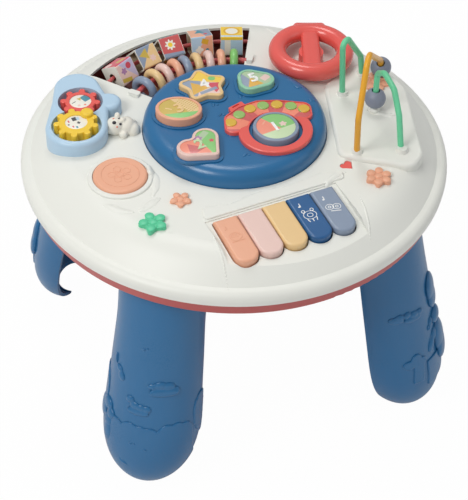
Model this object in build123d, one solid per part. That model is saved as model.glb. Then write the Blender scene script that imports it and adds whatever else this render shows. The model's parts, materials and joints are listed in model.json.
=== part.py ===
from build123d import *
import os
from math import atan2, cos, degrees, radians, sin, sqrt

# Baby activity table, in millimetres.
# The origin is on the floor under the middle of the table, +Z up.
# -Y is the side with the piano keys, where the child sits.

# Table top: white cover over a coral tray
table_radius = 200.0
seam_z = 252.0
top_z = 285.0
cover_wall = 2.5
rim_height = 12.5
plateau_radius = 152.0
tray_bottom_z = 237.0
tray_wall = 2.5
tray_foot_radius = 192.0
tray_rim_radius = 198.0

# Legs: open shells that lean outwards and stand on rounded toes
leg_yaw = -3.7
leg_half_spread = 46.0
leg_inset = 47.0
leg_splay = 47.0
leg_top_reach = tray_foot_radius - leg_inset
leg_foot_reach = leg_top_reach + leg_splay
leg_top_depth = 36.0
leg_foot_depth = 45.0
leg_top_width = 38.0
leg_foot_width = 47.0
leg_turn = 11.0
leg_cut = 8.0
leg_cut_turn = 6.5
leg_toe_height = 74.0
leg_toe_flat = 0.27
leg_notch_back = 3.0
leg_notch_side = 9.0
leg_notch_radius = 18.0
leg_notch_height = 40.0
leg_wall = 3.0
leg_plug_inset = 6.0
leg_plug_height = 12.0
leg_plate = 4.0
plug_clearance = 0.15

# Blue centre panel with the number buttons
panel_radius = 85.5
panel_top_z = 301.0
panel_shoulder = 13.5
panel_wall = 2.5
panel_gap = 0.7
panel_flange = 6.0
button_gap = 0.5
button_rise = 7.0
button_wall = 3.0
button_well = 1.0
button_travel = 2.5
button_flange = 1.6
button_flange_height = 2.0
seat_gap = 0.3
stem_radius = 3.5
sleeve_width = 3.0
sleeve_rise = 1.2

# Telephone shape round button 1
phone_rise = 4.0
phone_body_x = 22.5
phone_body_y = -39.5
phone_body_half_width = 34.5
phone_body_half_depth = 31.5
phone_light_radius = 5.6
phone_light_rise = 1.6
phone_light_round = 0.9
phone_light_margin = 1.5
button_one_radius = 21.0

# Piano keys on one hinge rod
key_count = 5
key_pitch = 23.5
key_gap = 0.8
key_row_x = -14.4
key_back_y = -110.0
key_length = 54.0
key_height = 10.0
key_top_z = 288.0
key_rest_tilt = 4.0
key_stroke = 4.0
key_window_gap = 0.6
key_front_gap = 1.3
key_rod_y = -101.0
key_rod_z = 277.7
key_rod_radius = 1.5
key_barrel_radius = 4.0
key_tail = 2.2
hanger_width = 5.0
facet_margin = 5.5
facet_back_drop = 1.0
facet_front_drop = 11.0
facet_length = 96.0
running_gap = 0.05

# Drum pad
drum_x = -123.2
drum_y = -21.7
drum_radius = 24.7
drum_rise = 4.0
drum_travel = 3.0
drum_gap = 0.5
drum_ring_width = 4.5
drum_ring_rise = 2.0

# Steering wheel
wheel_x = 110.0
wheel_y = 60.0
wheel_turn = -24.0
wheel_radius = 41.5
wheel_tube = 8.5
wheel_mid_z = 299.5
wheel_post_radius = 12.0
wheel_axle_radius = 5.0
wheel_boss_rise = 2.5

# Gear housing and the two toothed dials
housing_rise = 14.0
gear_knob_radius = 6.0
gear_knob_rise = 3.5
gear_knob_offset_x = 13.2
gear_knob_offset_y = 7.0
housing_round_yellow = 28.5
housing_round_red = 26.5
housing_round_far = 21.5
gear_red_x = -122.3
gear_red_y = 78.9
gear_yellow_x = -138.1
gear_yellow_y = 47.2
gear_red_teeth = 8
gear_yellow_teeth = 9
tooth_radius = 3.1
tooth_inset = 1.0
tooth_root = 2.4
gear_pin_radius = 2.5
gear_height = 10.0
gear_floor_z = 289.0
gear_yellow_lift = 3.5
gear_window_radius = 10.3
gear_window_depth = 1.2
gear_well_gap = 1.2

# Rear pocket with the picture blocks and the rings
pocket_start = 59.5
pocket_end = 125.5
pocket_inner_radius = 87.0
pocket_outer_radius = 161.0
bin_wall = 2.0
bin_floor_z = 260.0
block_size = 22.0
block_wall = 1.6
block_radius = 141.0
block_z = 282.0
block_axle_radius = 2.0
block_hub_radius = 4.2
block_hub_length = 5.0
block_bore_gap = 0.08
block_angles = (116.9, 104.1, 92.4, 79.1, 66.2)
block_tilts = (32.0, 47.0, 52.0, 17.0, 8.0)
ring_radius = 107.0
ring_z = 280.0
ring_rod_radius = 2.8
ring_outer_radius = 14.5
ring_tube_radius = 4.0
ring_holder_width = 11.0
ring_holder_rise = 3.6
ring_angles = (118.9, 110.9, 104.3, 97.4, 91.6, 85.1, 78.5, 72.1, 65.3)

# Bead maze
wire_radius = 2.8
wire_foot_z = 283.0
hill_rise = 4.5
boss_radius = 4.6
boss_flare = 1.8
boss_rise = 4.0
bead_radius = 10.0
bead_bore_gap = 1.2
bead_upper_z = 301.7

# Inside and underneath
post_radius = 4.5
screw_radius = 1.5
screw_head_radius = 3.0
screw_length = 14.0
screw_ring_radius = 180.0
screw_angles = (-119.7, -67.7, -3.7, 61.3, 111.3, 176.3)
board_thickness = 1.6
key_board_z = 262.0
panel_board_z = 281.0
panel_board_radius = 62.0
cell_radius = 7.2
cell_length = 50.0
battery_gap = 1.0
speaker_radius = 24.0
speaker_height = 11.0
speaker_x = 0.0
speaker_y = -75.0
switch_x = 58.0
switch_y = 0.0
switch_travel = 4.0

os.makedirs("parts", exist_ok=True)


def polar(radius, angle, z=0.0):
    """Point at a radius and an angle in degrees, at height z."""
    return (radius * cos(radians(angle)), radius * sin(radians(angle)), z)


def save(solid, node):
    """Write one named sub-part."""
    export_step(solid, "parts/" + node + ".step")


def prism(face_or_sketch, low, high):
    """Upright prism of a flat outline between two heights."""
    return extrude(Pos(0, 0, low) * face_or_sketch, high - low)


def rounded_face(points, radius):
    """Face of a polygon with all corners rounded."""
    face = make_face(Polyline(*points, close=True))
    return fillet(face.vertices(), radius)


def grown(face, amount):
    """The same outline moved outwards, or inwards below zero."""
    return offset(face, amount=amount) if amount else face


def tube_cylinder(radius, low, high, x=0.0, y=0.0):
    """Upright cylinder at x, y between two heights."""
    return Pos(x, y, (low + high) / 2) * Cylinder(radius, high - low)


def top_edges(solid, height, slack=0.05):
    """Edges that lie wholly at one height."""
    return [e for e in solid.edges() if abs(e.bounding_box().min.Z - height) < slack
            and abs(e.bounding_box().max.Z - height) < slack]


def soften(solid, height, radius):
    """Round the edges at one height."""
    return fillet(top_edges(solid, height), radius)


def sector(inner, outer, start, end, low, high):
    """Ring sector between two radii and two angles."""
    wedge = make_face([
        Line(polar(inner, start), polar(outer, start)),
        CenterArc((0, 0), outer, start, end - start),
        Line(polar(outer, end), polar(inner, end)),
        CenterArc((0, 0), inner, start, end - start),
    ])
    return prism(wedge, low, high)


def revolved(profile):
    """Turn a flat r-z outline about the table's axis."""
    return revolve(Plane.XZ * profile, Axis.Z, 360)


# Outer and inner bodies of the cover, both full discs
def cover_body(inset):
    """Solid under the cover's skin, moved in by inset."""
    radius = table_radius - inset
    base = seam_z - (2.0 if inset else 0.0)
    rim_top = seam_z + rim_height - inset
    crown = top_z - inset
    ledge = radius - 6.0
    step = radius - 10.0
    outline = make_face([
        Line((0, base), (radius - 0.5, base)),
        Line((radius - 0.5, base), (radius, seam_z + 4.0)),
        ThreePointArc((radius, seam_z + 4.0), (radius - 1.9, rim_top - 2.3), (ledge, rim_top)),
        Line((ledge, rim_top), (step, rim_top + 0.6)),
        Spline((step, rim_top + 0.6), (plateau_radius, crown),
               tangents=[(-cos(radians(40)), sin(radians(40))), (-1, 0)]),
        Line((plateau_radius, crown), (0, crown)),
        Line((0, crown), (0, base)),
    ])
    return revolved(outline)


def hill_body(inset):
    """Low soft rise under the bead maze."""
    corners = [(104, 20), (68, -78), (122, -121), (140, -108), (174, -16), (171, 36), (132, 36)]
    outline = rounded_face(corners, 13.0)
    outline = offset(outline, amount=-inset) if inset else outline
    return soften(prism(outline, seam_z + 10, top_z + hill_rise - inset), top_z + hill_rise - inset, 3.5)


facet_half = key_count * key_pitch / 2 + facet_margin
facet_back_y = key_back_y + 3.5


def facet_cut(inset):
    """Sloping recess that the piano keys lie in, taken off the cover."""
    back = facet_back_y + inset
    front = facet_back_y - facet_length
    side = Polyline((back, top_z - facet_back_drop - inset),
                    (front, top_z - facet_front_drop - facet_back_drop - inset),
                    (front, top_z + 30), (back, top_z + 30), close=True)
    wedge = extrude(Plane.YZ * make_face(side), facet_half + inset, both=True)
    return Pos(key_row_x, 0, 0) * wedge


cover_outside = cover_body(0.0) + hill_body(0.0) - facet_cut(0.0)
cover_inside = cover_body(cover_wall) + hill_body(cover_wall) - facet_cut(cover_wall)


# Button outlines, each about its own middle
def round_outline(grow):
    return Circle(button_one_radius + grow)


def heart_outline(grow):
    lobes = [Pos(side * 10.3, 5.2) * Circle(12.0) for side in (-1, 1)]
    tip = Pos(0, -15.0) * Circle(4.5)
    halves = [make_hull(lobe.edges() + tip.edges()) for lobe in lobes]
    shape = halves[0] + halves[1]
    notch = [v for v in shape.vertices() if v.Y > 5 and abs(v.X) < 2]
    return grown(fillet(notch, 4.0), grow)


def oval_outline(grow):
    return Ellipse(21.5 + grow, 17.5 + grow)


def star_outline(grow):
    points = [polar(27.0 if k % 2 == 0 else 16.5, 90 + 36 * k)[:2] for k in range(10)]
    return grown(rounded_face(points, 5.5), grow)


def pick_outline(grow):
    points = [polar(28.5, 116)[:2], polar(28.0, 208)[:2], polar(36.0, 338)[:2]]
    return grown(rounded_face(points, 11.0), grow)


buttons = {
    "button_one": (round_outline, 22.8, -39.0, 0.0, phone_rise + 4.0),
    "button_two": (heart_outline, -48.5, -34.0, 24.0, button_rise),
    "button_three": (oval_outline, -47.8, 19.7, -28.0, button_rise + 2.0),
    "button_four": (star_outline, -11.0, 46.5, -10.0, button_rise - 1.0),
    "button_five": (pick_outline, 40.0, 33.0, 0.0, button_rise),
}


def place(shape, x, y, turn):
    return Pos(x, y, 0) * Rot(0, 0, turn) * shape


# Blue centre panel
def panel_body(inset):
    """Solid under the panel's skin: a low drum with a round shoulder."""
    radius = panel_radius - inset
    crown = panel_top_z - inset
    shoulder = panel_shoulder
    flat = panel_radius - shoulder - 1.0
    base = top_z - cover_wall - 3.0 - (1.0 if inset else 0.0)
    outline = make_face([
        Line((0, base), (radius, base)),
        Line((radius, base), (radius, top_z + 1.5)),
        Spline((radius, top_z + 1.5), (flat, crown), tangents=[(0, 1), (-1, 0)]),
        Line((flat, crown), (0, crown)),
        Line((0, crown), (0, base)),
    ])
    return revolved(outline)


panel_base_z = top_z - cover_wall - 3.0
flange_top_z = top_z - cover_wall
panel_under_z = panel_top_z - panel_wall

panel_flange_ring = tube_cylinder(panel_radius + panel_flange, panel_base_z, flange_top_z)
panel_flange_ring -= sector(pocket_inner_radius - 0.5, pocket_outer_radius + 9, pocket_start - 4,
                            pocket_end + 4, panel_base_z - 1, flange_top_z + 1)
dome_panel = panel_body(0.0) + panel_flange_ring
sleeves = []
for outline, x, y, turn, rise in buttons.values():
    sleeve_outline = place(outline(button_gap + sleeve_width), x, y, turn)
    sleeve = prism(sleeve_outline, panel_top_z - 1, panel_top_z + sleeve_rise)
    sleeves.append(sleeve)
    dome_panel += sleeve
dome_panel -= panel_body(panel_wall)
panel_post_places = [polar(r, a)[:2] for r, a in ((36.0, 71.0), (53.0, 187.0), (51.0, 251.0), (52.0, 353.0))]
for x, y in panel_post_places:
    dome_panel += tube_cylinder(post_radius, panel_board_z + board_thickness, panel_under_z + 0.5, x, y)
for outline, x, y, turn, rise in buttons.values():
    dome_panel -= prism(place(outline(button_gap), x, y, turn), panel_base_z, panel_top_z + 5)


# Buttons: cup-shaped caps, kept in by a flange under the panel
def button_solid(outline, x, y, turn, rise):
    crown = panel_top_z + rise
    cap = prism(outline(0.0), panel_under_z - seat_gap - button_flange_height, crown)
    cap = soften(cap, crown, 1.2)
    cap -= prism(outline(-button_wall), crown - button_well, crown + 1)
    hollow_low = panel_under_z - seat_gap - button_flange_height - 1
    cap -= prism(outline(-button_wall), hollow_low, crown - button_well - 2.0)
    flange_top = panel_under_z - seat_gap
    flange = prism(outline(button_flange), flange_top - button_flange_height, flange_top)
    flange -= prism(outline(-button_wall), flange_top - button_flange_height, flange_top)
    stem = tube_cylinder(stem_radius, pad_top_z + button_travel + seat_gap, crown - button_well - 1.0)
    seated = place(flange, x, y, turn) & panel_body(panel_wall + seat_gap)
    return place(cap + stem, x, y, turn) + seated


pad_rise = 2.8
pad_top_z = panel_board_z + board_thickness + pad_rise
for node, (outline, x, y, turn, rise) in buttons.items():
    save(button_solid(outline, x, y, turn, rise), node)


# Telephone shape that lies on the panel round button 1
handset_line = [(-10.5, -20.0, 8.5), (-6.0, -9.0, 8.5), (8.0, -3.0, 9.0), (24.0, -2.0, 9.0)]
handset_line += [(40.0, -7.5, 8.5), (59.0, -20.0, 9.0), (57.0, -28.0, 8.0)]


def round_band(line, grow=0.0):
    """Band round a line of points, each with its own half width."""
    discs = [Pos(x, y) * Circle(half + grow) for x, y, half in line]
    band = make_hull(discs[0].edges() + discs[1].edges())
    for first, second in zip(discs[1:], discs[2:]):
        band += make_hull(first.edges() + second.edges())
    return band


def phone_outline(grow=0.0):
    body = Ellipse(phone_body_half_width + grow, phone_body_half_depth + grow)
    body = Pos(phone_body_x, phone_body_y) * body
    return round_band(handset_line, grow) + body


light_places = [(-10.3, -13.0), (1.6, -5.8), (14.5, -1.8), (27.5, -2.4)]
light_places += [(39.9, -6.3), (51.0, -13.5), (60.0, -22.0)]
phone_top_z = panel_top_z + phone_rise
tab = rounded_face([(-3.5, -1), (-3.5, 7.0), (11.5, 11.0), (13, 4)], 1.0)
tab_slot = rounded_face([(-0.2, 5.0), (0.2, 6.8), (7.5, 9.0), (8.2, 7.3)], 0.6)
phone_frame = prism(phone_outline(), panel_top_z, phone_top_z)
phone_frame = soften(phone_frame, phone_top_z, 1.2)
phone_frame += prism(tab, panel_top_z, phone_top_z) - prism(tab_slot, phone_top_z - 2.0, phone_top_z)
phone_frame -= tube_cylinder(button_one_radius + button_gap + sleeve_width + 0.1, panel_top_z - 1,
                             phone_top_z + 1, 22.8, -39.0)
petal_band = round_band(handset_line, -1.7)
petal_low_edge = [(-10, -25.2), (3, -23.5), (10, -30), (36, -30), (51, -30.5), (60, -31)]
petal_high_edge = [(58, -20), (40, -7), (24, -2), (8, -3), (-6, -9)]
petal_band += rounded_face(petal_low_edge + petal_high_edge, 1.5)
phone_bed_z = phone_top_z - 1.2
petal_recess = prism(petal_band, phone_bed_z, phone_top_z + 1)
petal_recess -= tube_cylinder(button_one_radius + 5.0, phone_bed_z, phone_top_z + 1, 22.8, -39.0)
phone_frame -= petal_recess

# Seven scallop lights in the handset, one solid each
phone_light_z = phone_bed_z + phone_light_rise
phone_lights = []
for x, y in light_places:
    lens = tube_cylinder(phone_light_radius, phone_bed_z, phone_light_z, x, y)
    phone_lights.append(soften(lens, phone_light_z, phone_light_round))
light_trim = prism(phone_outline(-phone_light_margin), phone_bed_z, phone_light_z + 1)
trimmed_lights = [lens & light_trim for lens in phone_lights]
save(Compound(children=[Compound(s.solids()) for s in trimmed_lights]), "phone_lights")
for light in trimmed_lights:
    phone_frame -= light
for sleeve in sleeves:
    phone_frame -= sleeve
save(phone_frame, "phone_frame")
save(dome_panel, "dome_panel")


# Piano keys
def key_outline(grow_side, grow_front):
    half = (key_pitch - key_gap) / 2 + grow_side
    front = key_back_y - key_length - grow_front
    shape = make_face([
        Line((-half, key_back_y), (half, key_back_y)),
        Line((half, key_back_y), (half, front + half)),
        ThreePointArc((half, front + half), (0, front), (-half, front + half)),
        Line((-half, front + half), (-half, key_back_y)),
    ])
    return shape


key_places = [key_row_x + key_pitch * (k - (key_count - 1) / 2) for k in range(key_count)]
key_bottom_z = key_top_z - key_height


def key_solid(x):
    cap = prism(key_outline(0.0, 0.0), key_bottom_z, key_top_z)
    cap = soften(cap, key_top_z, 2.2)
    barrel_length = key_pitch - key_gap
    tail_reach = key_rod_y - key_back_y + 1.0
    tail = Box(barrel_length, tail_reach, key_tail, align=(Align.CENTER, Align.MIN, Align.MIN))
    tail = Pos(0, key_back_y - 1.0, key_bottom_z) * tail
    barrel = Pos(0, key_rod_y, key_rod_z) * Rot(0, 90, 0) * Cylinder(key_barrel_radius, barrel_length)
    bore = Rot(0, 90, 0) * Cylinder(key_rod_radius + running_gap, barrel_length + 1)
    bore = Pos(0, key_rod_y, key_rod_z) * bore
    solid = Pos(x, 0, 0) * (cap + tail + barrel - bore)
    hinge = Axis((0, key_rod_y, key_rod_z), (1, 0, 0))
    return solid.rotate(hinge, key_rest_tilt)


for number, x in enumerate(key_places, start=1):
    save(key_solid(x), "key_" + str(number))

rod_half = key_count * key_pitch / 2 + 0.6 + hanger_width
key_hinge_rod = Pos(key_row_x, key_rod_y, key_rod_z) * Rot(0, 90, 0) * Cylinder(key_rod_radius, 2 * rod_half)
save(key_hinge_rod, "key_hinge_rod")


# Drum pad
drum_under_z = top_z - cover_wall
drum_flange_top = drum_under_z - seat_gap
drum_pad = tube_cylinder(drum_radius, drum_flange_top - 2.0, top_z + drum_rise)
drum_pad = soften(drum_pad, top_z + drum_rise, 2.5)
drum_pad -= tube_cylinder(drum_radius - 3.0, drum_flange_top - 3.0, top_z + drum_rise - 2.5)
drum_pad += tube_cylinder(drum_radius + 2.5, drum_flange_top - 2.0, drum_flange_top) \
    - tube_cylinder(drum_radius - 3.0, drum_flange_top - 2.0, drum_flange_top)
drum_stem_z = drum_flange_top - 2.0 - drum_travel
drum_pad += tube_cylinder(stem_radius, drum_stem_z, top_z + drum_rise - 1.0)
save(Pos(drum_x, drum_y, 0) * drum_pad, "drum_pad")

# Steering wheel: thick ring, flat top grip, middle bar and post on one axle
wheel_section = RectangleRounded(2 * wheel_tube, 2 * wheel_tube - 0.4, wheel_tube - 0.6)
wheel_ring = revolved(Pos(wheel_radius - wheel_tube, wheel_mid_z) * wheel_section)
top_grip = Pos(0, wheel_radius - wheel_tube, wheel_mid_z - 0.3) * Box(33, 18.6, 14.4)
top_grip = fillet(top_grip.edges(), 5.0)
bar = Pos(0, -1, wheel_mid_z - 0.5) * Box(18, 2 * (wheel_radius - wheel_tube) - 2, 12)
bar = fillet(bar.edges().filter_by(Axis.Y), 5.0)
wheel_boss_z = top_z + wheel_boss_rise
wheel_post = tube_cylinder(wheel_post_radius, wheel_boss_z + seat_gap, wheel_mid_z)
wheel_axle = tube_cylinder(wheel_axle_radius, flange_top_z - seat_gap - 3.0, wheel_mid_z)
wheel_clip = tube_cylinder(wheel_axle_radius + 2.5, flange_top_z - seat_gap - 2.5, flange_top_z - seat_gap)
steering_wheel = wheel_ring + top_grip + bar + wheel_post + wheel_axle + wheel_clip
save(place(steering_wheel, wheel_x, wheel_y, wheel_turn), "steering_wheel")

# Toothed dials in their housing
gear_distance = sqrt((gear_red_x - gear_yellow_x) ** 2 + (gear_red_y - gear_yellow_y) ** 2)
gear_line = degrees(atan2(gear_yellow_y - gear_red_y, gear_yellow_x - gear_red_x))
teeth_sum = gear_red_teeth + gear_yellow_teeth
red_pitch = gear_distance * gear_red_teeth / teeth_sum
yellow_pitch = gear_distance * gear_yellow_teeth / teeth_sum


def gear_outline(pitch, teeth, first_angle):
    shape = Circle(pitch - tooth_root)
    for k in range(teeth):
        x, y, _ = polar(pitch - tooth_inset, first_angle + 360 * k / teeth)
        shape += Pos(x, y) * Circle(tooth_radius)
    return shape


def gear_solid(pitch, teeth, first_angle, x, y, low):
    high = low + gear_height
    gear = prism(gear_outline(pitch, teeth, first_angle), low, high)
    gear = soften(gear, high, 1.0)
    gear -= tube_cylinder(gear_window_radius, high - gear_window_depth, high + 1)
    gear -= tube_cylinder(gear_pin_radius + running_gap, low - 1, high - gear_window_depth - 2.0)
    return Pos(x, y, 0) * gear


gear_red_low = gear_floor_z + seat_gap
gear_yellow_low = gear_red_low + gear_yellow_lift
gear_red = gear_solid(red_pitch, gear_red_teeth, gear_line, gear_red_x, gear_red_y, gear_red_low)
half_tooth = 180 / gear_yellow_teeth
gear_yellow = gear_solid(yellow_pitch, gear_yellow_teeth, gear_line + 180 + half_tooth,
                         gear_yellow_x, gear_yellow_y, gear_yellow_low)
knob_low = gear_yellow_low + gear_height - 1.5
knob_high = gear_yellow_low + gear_height + gear_knob_rise
knob_x = gear_yellow_x + gear_knob_offset_x
knob_y = gear_yellow_y + gear_knob_offset_y
knob = tube_cylinder(gear_knob_radius, knob_low, knob_high, knob_x, knob_y)
gear_yellow += soften(knob, knob_high, 2.2)
save(gear_red, "gear_red")
save(gear_yellow, "gear_yellow")

housing_top_z = top_z + housing_rise
housing_line = [(gear_yellow_x, gear_yellow_y, housing_round_yellow)]
housing_line += [(gear_red_x, gear_red_y, housing_round_red), (-117, 102, housing_round_far)]
housing_outline = round_band(housing_line)
housing_outline += round_band([(gear_red_x, gear_red_y, 14.0), (-97.5, 70.5, 12.0)])
gear_housing = prism(housing_outline, seam_z + 12, housing_top_z)
gear_housing = soften(gear_housing, housing_top_z, 4.0)
red_well = tube_cylinder(red_pitch + tooth_radius + gear_well_gap, gear_floor_z, housing_top_z + 2,
                         gear_red_x, gear_red_y)
yellow_well = tube_cylinder(yellow_pitch + tooth_radius + gear_well_gap, gear_yellow_low - seat_gap,
                            housing_top_z + 2, gear_yellow_x, gear_yellow_y)
gear_housing -= red_well + yellow_well
gear_housing -= cover_outside
gear_housing = max(gear_housing.solids(), key=lambda s: s.volume)
red_pin_top = gear_red_low + gear_height - gear_window_depth - 2.0 - seat_gap
gear_housing += tube_cylinder(gear_pin_radius, gear_floor_z - 1, red_pin_top, gear_red_x, gear_red_y)
gear_housing += tube_cylinder(gear_pin_radius, gear_floor_z - 1, red_pin_top + gear_yellow_lift,
                              gear_yellow_x, gear_yellow_y)
save(gear_housing, "gear_housing")

# Bear cub figure, made of balls and seated on the cover
bear_cub = Pos(-103, 41, 291) * Sphere(9.0) + Pos(-93, 39, 289) * Sphere(9.5)
bear_cub += Pos(-88, 34, 287) * Sphere(7.0)
bear_cub += Pos(-97.5, 48.5, 297) * Sphere(2.8) + Pos(-96, 38.5, 298.5) * Sphere(2.8)
bear_cub += Pos(-109.5, 38.5, 290.0) * Sphere(3.6) + Pos(-99, 30.5, 287) * Sphere(4.0)
bear_cub += Pos(-95, 50.0, 287) * Sphere(4.0) + Pos(-84.5, 42, 287) * Sphere(4.0)
bear_cub -= cover_outside + gear_housing
bear_cub -= prism(housing_outline, seam_z, top_z + 40)
save(max(bear_cub.solids(), key=lambda s: s.volume), "bear_cub")


# Rear pocket: blocks on the outer axle, rings on the inner rod
pocket_opening = sector(panel_radius - 20, pocket_outer_radius, pocket_start, pocket_end,
                        seam_z - 5, top_z + 30)
bin_inside = sector(pocket_inner_radius + bin_wall, pocket_outer_radius + bin_wall, pocket_start - 1.2,
                    pocket_end + 1.2, bin_floor_z, top_z + 20)
bin_outside = sector(pocket_inner_radius, pocket_outer_radius + 2 * bin_wall, pocket_start - 2.4,
                     pocket_end + 2.4, bin_floor_z - bin_wall, flange_top_z)
rear_bin = (bin_outside - bin_inside) & cover_inside


def arc_rod(radius, start, end, z, section):
    """Round rod along an arc about the table's axis."""
    path = CenterArc((0, 0, z), radius, start, end - start)
    plane = Plane(origin=path @ 0, z_dir=path % 0)
    return sweep(plane * Circle(section), path=path)


# The rings hang from their rod, so it is above their middles
ring_hole_radius = ring_outer_radius - 2 * ring_tube_radius
ring_rod_z = ring_z + ring_hole_radius - ring_rod_radius - running_gap
block_axle = arc_rod(block_radius, pocket_start - 2.0, pocket_end + 2.0, block_z, block_axle_radius)
ring_axle = arc_rod(ring_radius, pocket_start - 4.0, pocket_end + 4.0, ring_rod_z, ring_rod_radius)
rear_bin -= ring_axle
rear_bin -= block_axle
save(ring_axle, "ring_axle")


def block_solid(angle, tilt, closed_end):
    """Square tube with a web and a hub, spun about the axle's tangent; the end one is closed."""
    tube = Box(block_size, block_size, block_size)
    tube = fillet(tube.edges().filter_by(Axis.Y), 2.0)
    inside = Box(block_size - 2 * block_wall, block_size + 1, block_size - 2 * block_wall)
    web = Box(block_size - 2 * block_wall, block_wall, block_size - 2 * block_wall)
    hub = Rot(90, 0, 0) * Cylinder(block_hub_radius, block_hub_length)
    bore = Rot(90, 0, 0) * Cylinder(block_axle_radius + block_bore_gap, block_size + 2)
    block = tube - inside + web + hub - bore
    if closed_end:
        plate = Pos(0, (block_size - block_wall) / 2, 0) * web
        block += plate - Rot(90, 0, 0) * Cylinder(block_hub_radius, 2 * block_size)
    block = Rot(0, tilt, 0) * block
    return Pos(*polar(block_radius, angle, block_z)) * Rot(0, 0, angle) * block


for number, (angle, tilt) in enumerate(zip(block_angles, block_tilts), start=1):
    save(block_solid(angle, tilt, number == 1), "block_" + str(number))

for number, angle in enumerate(ring_angles, start=1):
    ring = Torus(ring_outer_radius - ring_tube_radius, ring_tube_radius)
    ring = Pos(*polar(ring_radius, angle, ring_z)) * Rot(0, 0, angle) * Rot(90, 0, 0) * ring
    save(ring, "ring_" + str(number))


# Bead maze wires, each in its own upright plane between two feet
wire_feet = {
    "wire_left": ((113.4, 0.0), (146.0, 20.0)),
    "wire_middle": ((85.2, -80.8), (165.5, 16.7)),
    "wire_right": ((123.0, -97.0), (129.2, -33.3)),
}
wire_routes = {
    "wire_left": ([(-7.6, 353.0), (2.5, 351.5), (31.0, 315.0)], 5.0),
    "wire_middle": ([(-10.5, 335.0), (15.0, 382.0), (26.0, 379.5), (107.8, 315.0)], 10.0),
    "wire_right": ([(13.0, 321.0), (28.0, 339.5), (50.0, 342.0), (64.0, 332.0)], 8.0),
}


def wire_point(node, station, z):
    """Point of a wire's plane, a station along the line between its feet."""
    (x0, y0), (x1, y1) = wire_feet[node]
    share = station / sqrt((x1 - x0) ** 2 + (y1 - y0) ** 2)
    return Vector(x0 + (x1 - x0) * share, y0 + (y1 - y0) * share, z)


def wire_solid(node):
    (x0, y0), (x1, y1) = wire_feet[node]
    stations, bend = wire_routes[node]
    points = [wire_point(node, s, z) for s, z in stations]
    path = FilletPolyline((x0, y0, wire_foot_z), *points, (x1, y1, wire_foot_z), radius=bend)
    return sweep(Plane(origin=path @ 0, z_dir=path % 0) * Circle(wire_radius), path=path)


wires = {node: wire_solid(node) for node in wire_feet}
for node, wire in wires.items():
    save(wire, node)

# White collars that the wires stand in
maze_top_z = top_z + hill_rise
collars = []
for near, far in wire_feet.values():
    for x, y in (near, far):
        collar = Cone(boss_radius + boss_flare, boss_radius, boss_rise + 2)
        collars.append(Pos(x, y, maze_top_z + boss_rise / 2 - 1) * collar)


def bead_solid(spot, direction):
    """Ball with a bore along the wire."""
    ball = Sphere(bead_radius) - Cylinder(wire_radius + bead_bore_gap, 3 * bead_radius)
    return Plane(origin=spot, z_dir=direction) * ball


# Both beads rest at the low end of their wires
middle_foot = Vector(*wire_feet["wire_middle"][1], wire_foot_z)
upper_run = wire_point("wire_middle", *wire_routes["wire_middle"][0][-1]) - middle_foot
upper_spot = middle_foot + upper_run * ((bead_upper_z - wire_foot_z) / upper_run.Z)
save(bead_solid(upper_spot, upper_run), "bead_upper")
print("bead_upper", upper_spot, upper_run.normalized())

bead_reach = sqrt(bead_radius ** 2 - (wire_radius + bead_bore_gap) ** 2)
lower_z = maze_top_z + boss_rise + seat_gap + bead_reach
save(bead_solid(Vector(*wire_feet["wire_right"][1], lower_z), (0, 0, 1)), "bead_lower")
print("bead_lower", lower_z)


# Small trims that stand on the cover
def flower_outline(radius, petals, turn):
    tip, valley = radius * 1.13, radius * 0.62
    points = [polar(tip if k % 2 == 0 else valley, turn + 180 * k / petals)[:2] for k in range(2 * petals)]
    return rounded_face(points, radius * 0.17)


def trim_solid(outline, x, y, crown):
    trim = soften(prism(outline, seam_z + 12, crown), crown, 1.2)
    trim = Pos(x, y, 0) * trim - cover_outside
    return max(trim.solids(), key=lambda s: s.volume)


star_green = trim_solid(flower_outline(13.4, 5, 18), -120.4, -90.9, top_z + 3.4)
star_peach = trim_solid(flower_outline(10.4, 5, 30), -86.3, -72.3, top_z + 2.0)
flower_front = trim_solid(flower_outline(13.2, 6, 0), 87.5, -118.0, top_z + 3.6)
flower_rear = trim_solid(flower_outline(15.5, 6, 20), 151.0, 2.0, maze_top_z + 2.0)
for collar in collars:
    flower_rear -= collar
save(star_green, "star_green")
save(star_peach, "star_peach")
save(Compound(children=[flower_front, flower_rear]), "flower_trims")


def small_heart(grow):
    shape = Pos(-2.9, 1.3) * Circle(3.3 + grow) + Pos(2.9, 1.3) * Circle(3.3 + grow)
    point = Polyline((-6.0 - grow, 0.2), (0, -6.6 - 1.3 * grow), (6.0 + grow, 0.2), (0, 3.5), close=True)
    shape += make_face(point)
    return shape


heart_x, heart_y, heart_turn = 70.5, -89.4, 20.0
heart_light = prism(small_heart(0.0), top_z - cover_wall - 1.5, top_z - 0.8)
heart_light += prism(small_heart(2.0), top_z - cover_wall - 1.5, top_z - cover_wall)
save(place(heart_light, heart_x, heart_y, heart_turn), "heart_light")

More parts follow.
